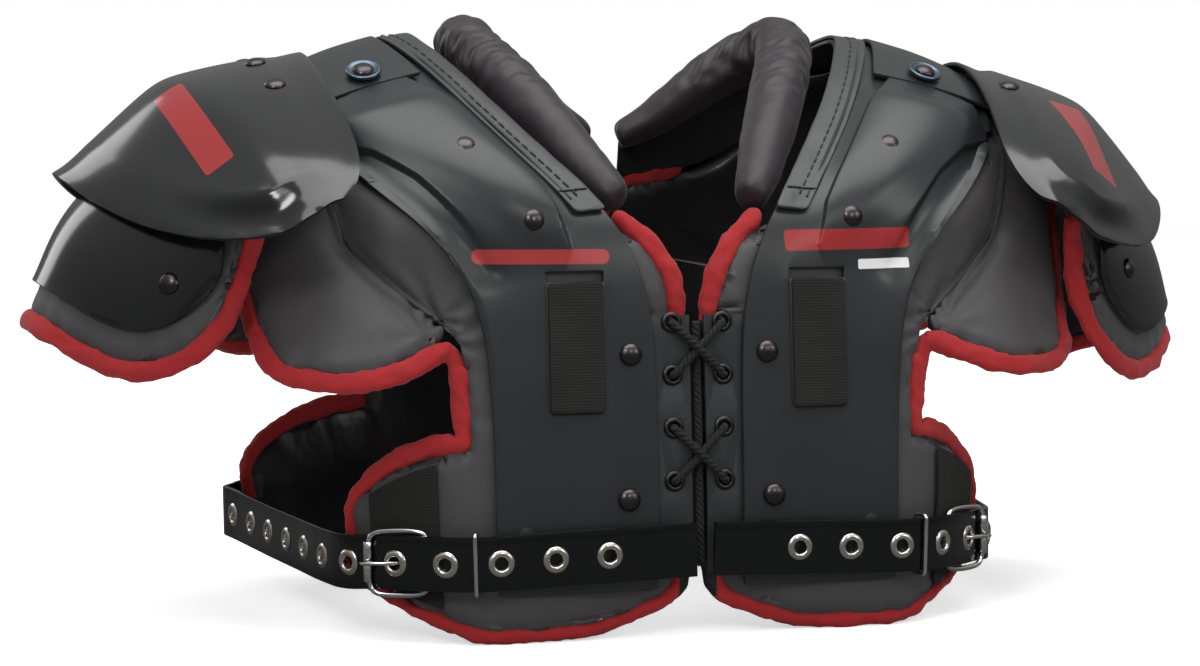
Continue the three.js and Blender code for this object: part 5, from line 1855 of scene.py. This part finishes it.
@dataclass
class NeckRoll:
    """The stuffed roll round the neck and the lining between it and the back pad."""

    finishes: Finishes
    wrinkle: float = 1.3 * MM
    roll_line: tuple[Point, ...] = (
        (77, -14, 258), (78, 2, 261), (75, 15, 261), (68, 26, 257), (58, 32, 251),
        (47, 37, 243), (36, 45, 236), (24, 53, 229), (14, 57, 224),
    )
    pad_line: tuple[Point, ...] = (
        (112, 4, 258), (111, 17, 255), (104, 33, 246), (92, 48, 233), (77, 57, 221),
        (60, 62, 212), (44, 64, 208), (28, 65, 205), (15, 65, 203),
    )
    lining_wall: float = 1.6 * MM
    lining_rows: int = 9
    lining_step: float = 5 * MM
    lining_sag: float = 2.5  # in MM, and as much again where it is loosest
    bend_from: float = 238 * MM  # the heights between which the roll bends
    bend_to: float = 268 * MM

    def roll(self, side: Side) -> None:
        """One half of the roll, wrinkled where it bends.

        Args:
            side: Its side.
        """

        def wrinkle(place: Vector, normal: Vector) -> Vector:
            """How far a point stands out, most at the bend on top."""
            bend = eased(place.z, self.bend_from, self.bend_to)
            folds = noise.noise(Vector((place.x * 80, place.y * 260, place.z * 110)))
            gathers = abs(noise.noise(Vector((place.x * 50, place.y * 170, place.z * 60)))) - 0.2
            soft = noise.noise(place * 45)
            return normal * self.wrinkle * (folds * (0.2 + bend) - gathers * bend + soft * 0.6)

        node = f"collar_roll_{side.word}"
        piece = traced(node, f"neck_roll_{side.word}")
        rounded(piece, 4)
        shift(piece, wrinkle)
        smooth(piece)
        finish(piece, self.finishes.roll, [node])

    def lining(self, side: Side) -> None:
        """The cloth that closes the neck between the roll and the back pad.

        Args:
            side: Its side.
        """
        top, bottom = (
            curve_through([side.place(point) for point in edge], self.lining_step)
            for edge in (self.roll_line, self.pad_line)
        )
        columns = min(len(top), len(bottom))
        grid = []
        for k in range(columns):
            share = k / (columns - 1)
            high = top[round(share * (len(top) - 1))]
            low = bottom[round(share * (len(bottom) - 1))]
            row = []
            for step in range(self.lining_rows):
                t = step / (self.lining_rows - 1)
                loose = self.lining_sag + self.lining_sag * noise.noise(high * 60)
                sag = math.sin(math.pi * t) * loose * MM
                row.append(high.lerp(low, t) - Vector((0, 0, sag)))
            grid.append(row)
        mesh = bpy.data.meshes.new(f"neck_lining_{side.word}")
        points = [point for row in grid for point in row]
        wide = self.lining_rows
        faces = [
            (k * wide + j, k * wide + j + 1, (k + 1) * wide + j + 1, (k + 1) * wide + j)
            for k in range(columns - 1)
            for j in range(wide - 1)
        ]
        mesh.from_pydata(points, [], faces)
        piece = linked(f"neck_lining_{side.word}", mesh)
        apply(piece, "SOLIDIFY", thickness=self.lining_wall, offset=0)
        rounded(piece, 2)
        activate(piece)
        bpy.ops.object.mode_set(mode="EDIT")
        bpy.ops.mesh.select_all(action="SELECT")
        bpy.ops.mesh.normals_make_consistent(inside=False)
        bpy.ops.object.mode_set(mode="OBJECT")
        smooth(piece)
        finish(piece, self.finishes.lining)

    def build(self) -> None:
        """Builds both halves."""
        for side in Side:
            self.roll(side)
            self.lining(side)


@dataclass
class Lacing:
    """The lace tabs, their rings and the crossed laces."""

    finishes: Finishes
    cord: float = 1.15 * MM
    lift: float = 0.85 * MM  # of the three cords off the lace's middle
    lay: float = 8.5 * MM  # the length in which they go round once
    turn_steps: int = 10  # points on that length
    over: float = 4.4 * MM
    under: float = 2.4 * MM
    least: float = 3.1 * MM  # how far a strand stays off the tabs
    holes_low: float = 25  # the heights between which the holes lie, in millimetres
    holes_high: float = 190
    rims: tuple[float, float] = (7 * MM, 17 * MM)  # and how far from the middle
    ring_rise: float = 0.7 * MM

    def tab(self, node: str, name: str) -> None:
        """A flat vinyl tab with softened edges.

        Args:
            node: The node that it replaces.
            name: Its name.
        """
        piece = traced(node, name)
        apply(piece, "BEVEL", width=0.35 * MM, segments=2, limit_method="ANGLE")
        smooth(piece, 35)
        finish(piece, self.finishes.tab, [node])

    def rings(self, name: str, holes: Sequence[Spot]) -> None:
        """A ring in each hole.

        Args:
            name: The piece's name.
            holes: The holes.
        """
        outline = (
            (2.5, -1.6), (2.5, 0.9), (2.9, 1.35), (3.7, 1.5), (4.6, 1.1), (4.8, 0.55),
            (4.6, 0.3), (3.4, 0.3), (3.3, -1.6), (2.5, -1.6),
        )
        spots = [(centre + facing * self.ring_rise, facing) for centre, facing in holes]
        turned_on(name, outline, 28, spots, self.finishes.ring)

    def strand(self, name: str, points: Sequence[Vector], out: Vector) -> bpy.types.Object:
        """A round lace through some points, three cords laid round each other.

        Args:
            name: Its name.
            points: The points.
            out: The way off the tabs.

        Returns:
            The strand.
        """
        line = curve_through(points, self.lay / self.turn_steps)
        cords = []
        for k in range(3):
            path = []
            for step, place in enumerate(line):
                before, after = line[max(0, step - 1)], line[min(len(line) - 1, step + 1)]
                along = (after - before).normalized()
                across = along.cross(out).normalized()
                up = across.cross(along)
                turn = math.tau * (step / self.turn_steps + k / 3)
                path.append(place + (across * math.cos(turn) + up * math.sin(turn)) * self.lift)
            cords.append(swept(name, path, [out] * len(path), circle(self.cord, 8)))
        return joined(cords)

    def lace(self, end: str, out: Vector) -> None:
        """The crossed laces between the tabs at the front or the back.

        Args:
            end: Front or back.
            out: The way off the tabs.
        """
        holes = {
            side: holes_in(
                f"{end}_lace_tab_{side.word}", self.holes_low, self.holes_high,
                lambda p, s=side: self.rims[0] < (p.x - MIRROR_X) * s.value < self.rims[1],
            )
            for side in Side
        }
        strands = []
        crossings = (
            (Side.LEFT, Side.RIGHT, self.over), (Side.RIGHT, Side.LEFT, self.under),
        )
        for low in (0, 2):
            for first, second, rise in crossings:
                a, b = holes[first][low][0], holes[second][low + 1][0]
                points = [a - out * 1.4 * MM, a + out * 2.0 * MM]
                for t, share in ((0.18, 0.8), (0.5, 1.0), (0.82, 0.8)):
                    points.append(a.lerp(b, t) + out * max(rise * share, self.least))
                points += [b + out * 2.0 * MM, b - out * 1.4 * MM]
                strands.append(self.strand(f"{end}_lace", points, out))
        middle = [(a[0] + b[0]) / 2 for a, b in zip(holes[Side.LEFT], holes[Side.RIGHT])]
        hidden = 1.6 if end == "front" else 0.7
        foot = middle[0] - (middle[1] - middle[0]) * hidden
        strands.append(self.strand(f"{end}_lace", [foot, *middle], out))
        piece = joined(strands)
        piece.name = f"{end}_lacing"
        smooth(piece)
        finish(piece, self.finishes.lace, [f"{end}_lace"])
        for side in Side:
            self.rings(f"{end}_rings_{side.word}", holes[side])

    def build(self) -> None:
        """Builds the tabs and laces at the front and the back."""
        for side in Side:
            for end in ("front", "back"):
                self.tab(f"{end}_lace_tab_{side.word}", f"{end}_tab_{side.word}")
        self.lace("front", Vector((0, -1, 0)))
        self.lace("back", Vector((0, 1, 0)))


@dataclass
class SideBelts:
    """The belts under the arms with their eyelets and buckles."""

    finishes: Finishes
    half_width: float = 12.25 * MM
    half_wall: float = 1.1 * MM
    holes_low: float = 30.5  # the heights between which the holes lie, in millimetres
    holes_high: float = 46.5
    cuts: int = 60
    end: float = 0.03  # how far the first cut is turned from the belt's end, in radians
    reach: float = 0.11  # how far the belt lies from the middle of the pads
    bar_low: float = 9.6 * MM  # the buckle's bars run up and down this far from its middle
    bar_turn: float = 0.035  # the outer bar lies within this turn of its end
    wire_reach: float = 3.4 * MM  # the points of one corner of the keeper lie nearer
    wire_bend: float = 1.8 * MM
    wire_radius: float = 1 * MM

    def stations(self, side: Side) -> list[Vector]:
        """The belt's centre line, from upright cuts through its node.

        Args:
            side: Its side.

        Returns:
            Its points, from the front to the back.
        """
        mesh = bpy.data.objects[f"belt_{side.word}"].data
        points = np.array([tuple(v.co) for v in mesh.vertices])
        points[:, 0] -= MIRROR_X
        ends = points[np.array([tuple(edge.vertices) for edge in mesh.edges])]
        angles = np.arctan2(points[:, 0] * side.value, -points[:, 1])
        line = []
        for angle in np.linspace(angles.min() + self.end, angles.max() - self.end, self.cuts):
            out = np.array([math.sin(angle) * side.value, -math.cos(angle), 0])
            square = np.array([-out[1], out[0], 0])
            first, second = ends[:, 0] @ square, ends[:, 1] @ square
            crossed = ((first > 0) != (second > 0)) & (ends[:, 0] @ out > 0)
            share = (first / (first - second + 1e-12))[crossed, None]
            cut = ends[crossed, 0] * (1 - share) + ends[crossed, 1] * share
            reach, height = cut @ out, cut[:, 2]
            middle = out * (reach.min() + reach.max()) / 2
            line.append(
                Vector((middle[0] + MIRROR_X, middle[1], (height.min() + height.max()) / 2))
            )
        short = self.end * self.reach
        first = line[0] + (line[0] - line[1]).normalized() * short
        last = line[-1] + (line[-1] - line[-2]).normalized() * short
        return [first, *line, last]

    def strap(self, side: Side, holes: Sequence[Spot]) -> bpy.types.Object:
        """The belt itself, a flat strap with pressed edges and real holes.

        Args:
            side: Its side.
            holes: Its holes.

        Returns:
            The belt.
        """
        path = curve_through(self.stations(side), 3 * MM)
        up = Vector((0, 0, 1))
        ups = [up.cross(b - a).normalized() for a, b in zip(path, path[1:])]
        ups = [way if way.dot(Vector((p.x, p.y, 0))) > 0 else -way for way, p in zip(ups, path)]
        ups.append(ups[-1].copy())
        w, t = self.half_width, self.half_wall
        section = [
            (w, t * 0.5), (w - 0.25 * MM, t * 0.92), (w - 0.6 * MM, t), (w / 2, t), (0, t),
            (-w / 2, t), (-w + 0.6 * MM, t), (-w + 0.25 * MM, t * 0.92), (-w, t * 0.5),
            (-w, -t), (w, -t),
        ]
        piece = swept(f"belt_strap_{side.word}", path, ups, section)
        cutter_model = turned("cutter", ((0, -4), (3.1, -4), (3.1, 4), (0, 4)), 20)
        cutter = seated(cutter_model, "cutters", holes)
        apply(piece, "BOOLEAN", operation="DIFFERENCE", object=cutter, solver="EXACT")
        for tool in (cutter, cutter_model):
            bpy.data.objects.remove(tool)
        smooth(piece, 35)
        return finish(piece, self.finishes.belt, [f"belt_{side.word}"])

    def eyelets(self, side: Side, holes: Sequence[Spot]) -> None:
        """A rolled nickel eyelet in each hole.

        Args:
            side: The belt's side.
            holes: Its holes.
        """
        outline = (
            (3.0, -1.5), (3.0, 1.1), (3.25, 1.75), (3.9, 2.05), (4.8, 1.95), (5.6, 1.55),
            (5.95, 1.15), (4.6, 1.12), (3.35, 1.12), (3.35, -1.2), (4.4, -1.2), (4.5, -1.5),
            (3.0, -1.5),
        )
        name, nickel = f"belt_eyelets_{side.word}", self.finishes.eyelet
        turned_on(name, outline, 32, holes, nickel)

    def wire(self, node: str, name: str) -> None:
        """A smooth bent wire.

        Args:
            node: The node that it replaces.
            name: Its name.
        """
        piece = traced(node, name)
        rounded(piece, 2)
        smooth(piece)
        finish(piece, self.finishes.buckle, [node])

    def roller(self, side: Side) -> None:
        """The sleeve round the buckle's outer bar.

        Args:
            side: Its side.
        """

        def turn(place: Vector) -> float:
            """How far round the pads a place lies from the front, in radians."""
            return math.atan2((place.x - MIRROR_X) * side.value, -place.y)

        mesh = bpy.data.objects[f"buckle_frame_{side.word}"].data
        points = [v.co.copy() for v in mesh.vertices]
        middle = sum((p.z for p in points)) / len(points)
        bars = [p for p in points if abs(p.z - middle) < self.bar_low]
        far = max(turn(p) for p in bars)
        outer = [p for p in bars if far - turn(p) < self.bar_turn]
        centre = sum(outer, Vector()) / len(outer)
        centre.z = middle
        outline = (
            (0, -9.2), (1.7, -9.2), (2.05, -8.8), (2.05, -0.1), (1.95, 0), (2.05, 0.1),
            (2.05, 8.8), (1.7, 9.2), (0, 9.2),
        )
        name, steel = f"buckle_roller_{side.word}", self.finishes.buckle
        turned_on(name, outline, 20, [(centre, Vector((0, 0, 1)))], steel)

    def keeper(self, side: Side) -> None:
        """The thin wire loop that holds the belt's end.

        Args:
            side: Its side.
        """
        node = f"belt_keeper_{side.word}"
        places = (vertex.co for vertex in bpy.data.objects[node].data.vertices)
        corners = grouped(places, self.wire_reach)
        middles = [sum(group, Vector()) / len(group) for group in corners]
        centre = sum(middles, Vector()) / len(middles)
        out = Vector((centre.x, centre.y, 0)).normalized()
        up = Vector((0, 0, 1))
        middles.sort(key=lambda p: math.atan2((p - centre).dot(up), (p - centre).dot(out)))
        path: list[Vector] = []
        for before, corner, after in zip(
            middles[-1:] + middles, middles, middles[1:] + middles[:1]
        ):
            start = corner + (before - corner).normalized() * self.wire_bend
            end = corner + (after - corner).normalized() * self.wire_bend
            for t in (0, 0.25, 0.5, 0.75, 1):
                path.append(start * (1 - t) ** 2 + corner * 2 * t * (1 - t) + end * t**2)
        ways = [out.cross(up)] * len(path)
        wire = circle(self.wire_radius, 10)
        piece = swept(f"keeper_wire_{side.word}", path, ways, wire, True)
        smooth(piece)
        finish(piece, self.finishes.buckle, [node])

    def build(self) -> None:
        """Builds both belts."""
        for side in Side:
            word = side.word
            holes = holes_in(f"belt_{word}", self.holes_low, self.holes_high)
            self.strap(side, holes)
            self.eyelets(side, holes)
            self.wire(f"buckle_frame_{word}", f"buckle_{word}")
            self.wire(f"buckle_prong_{word}", f"prong_{word}")
            self.roller(side)
            self.keeper(side)
            belt, webbing = self.finishes.belt, self.finishes.webbing
            softened(f"buckle_tab_{word}", f"buckle_strap_{word}", belt)
            softened(f"side_webbing_{word}", f"side_elastic_{word}", webbing)


@dataclass
class Rivets:
    """Every rivet: those of the frame, and those that only show."""

    finishes: Finishes
    view: Viewpoint
    shells: Shells
    guards: ArmGuards
    dome: tuple[tuple[float, float], ...] = (
        (0, 2.3), (1.3, 2.24), (2.6, 1.98), (3.7, 1.5), (4.6, 0.85), (5.0, 0.35), (5.05, -0.2),
        (4.7, -0.6), (0, -0.6),
    )
    seat: tuple[tuple[float, float], ...] = (
        (0, 0.55), (4.8, 0.55), (6.4, 0.5), (6.8, 0.9), (7.4, 1.15), (8.0, 0.9), (8.2, 0.3),
        (8.1, -0.5), (0, -0.5),
    )
    ring_lift: float = 0.6 * MM
    lift: float = 0.3 * MM
    ringed_lift: float = 0.9 * MM  # more for a head in a ring
    cap_rivet: Point = (242, 82, 164)
    hidden_rivet: tuple[float, float] = (85, 50)  # x and z, in millimetres
    hidden_depth: float = 1.7 * MM
    outside: float = 160  # a y that lies outside the pads, in millimetres

    def stance(self, node: str) -> Spot:
        """Where a rivet of the frame sits, and the way it faces.

        Args:
            node: The rivet's node.

        Returns:
            The foot of the rivet and the way it faces.
        """
        cloud = np.array([tuple(v.co) for v in bpy.data.objects[node].data.vertices])
        cloud = np.unique(cloud.round(6), axis=0)
        middle = cloud.mean(0)
        way = Vector(np.linalg.svd(cloud - middle)[2][2])
        outwards = Vector((middle[0] * 0.6, middle[1], max(0.0, middle[2] - 0.1)))
        way = way if way.dot(outwards) > 0 else -way
        heights = (cloud - middle) @ np.array(way)
        return Vector(middle) + way * float(heights.min()), way

    def framed(self) -> None:
        """The rivets that the frame has, the ones on the straps in blued rings."""
        names = ("chest_rivet_low", "chest_rivet_high", "collarbone_rivet", "shoulder_rivet")
        ringed = ("bridge_rivet_front", "bridge_rivet_back")
        dome, ring = turned("dome_model", self.dome, 32), turned("ring_model", self.seat, 40)
        for side in Side:
            for name in (*names, *ringed):
                node = f"{name}_{side.word}"
                place, way = self.stance(node)
                if name in ringed:
                    rise = [(place + way * self.ring_lift, way)]
                    under = seated(ring, f"{name}_ring_{side.word}", rise)
                    finish(under, self.finishes.washer)
                    place = place + way * self.ringed_lift
                top = [(place + way * self.lift, way)]
                piece = seated(dome, f"{name}_head_{side.word}", top)
                finish(piece, self.finishes.rivet, [node])
        for model in (dome, ring):
            bpy.data.objects.remove(model)

    def shown(self) -> None:
        """The rivets of the flaps and caps, in pairs at the front and back."""
        model = turned("rivet_model", self.dome, 24)
        for side in Side:
            flap = surface_of(self.guards.flaps[side])
            spots = []
            for x, y in self.guards.flap_rivets[side]:
                place, normal = self.view.spot(flap, x, y)
                spots.append((place, normal))
                behind = Vector((place.x, -place.y, place.z))
                back, way, _, _ = flap.find_nearest(behind)
                spots.append((back, way if way.z > 0 else -way))
            piece = seated(model, f"flap_rivets_{side.word}", spots)
            finish(piece, self.finishes.rivet)
            cap = surface_of(self.guards.caps[side])
            spots = []
            for y in (-self.cap_rivet[1], self.cap_rivet[1]):
                start = side.place((self.cap_rivet[0], y, self.cap_rivet[2]))
                place, way, _, _ = cap.find_nearest(start)
                way = way if way.dot(start - place) > 0 else -way
                spots.append((place, way))
            piece = seated(model, f"cap_rivets_{side.word}", spots)
            finish(piece, self.finishes.rivet)
            chest = surface_of(self.shells.arches[side])
            spots = []
            for y in (-1, 1):
                x, z = self.hidden_rivet
                start, out = side.place((x, self.outside * y, z)), Vector((0, y, 0))
                place = chest.ray_cast(start, -out)[0]
                spots.append((place - out * self.hidden_depth, out))
            piece = seated(model, f"hem_rivets_{side.word}", spots)
            # the hem rivets get the black thread finish, darker than the other rivets' metal: painted
            # shade where they lie nearly hidden
            finish(piece, self.finishes.thread)
        bpy.data.objects.remove(model)

    def build(self) -> None:
        """Builds all rivets."""
        self.framed()
        self.shown()


def main() -> None:
    """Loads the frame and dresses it."""
    logging.basicConfig(level=logging.INFO, format="%(name)s: %(message)s")
    for leftover in list(bpy.data.objects):
        bpy.data.objects.remove(leftover)
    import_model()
    bpy.ops.object.select_all(action="DESELECT")
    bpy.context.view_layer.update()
    finishes, view = Finishes(), Viewpoint()
    view.build()
    Studio().build()
    shells = Shells(finishes)
    shells.build()
    guards = ArmGuards(finishes, view)
    guards.build()
    Padding(finishes, shells, guards).build()
    NeckRoll(finishes).build()
    Lacing(finishes).build()
    SideBelts(finishes).build()
    Rivets(finishes, view, shells, guards).build()


if __name__ == "__main__":
    main()
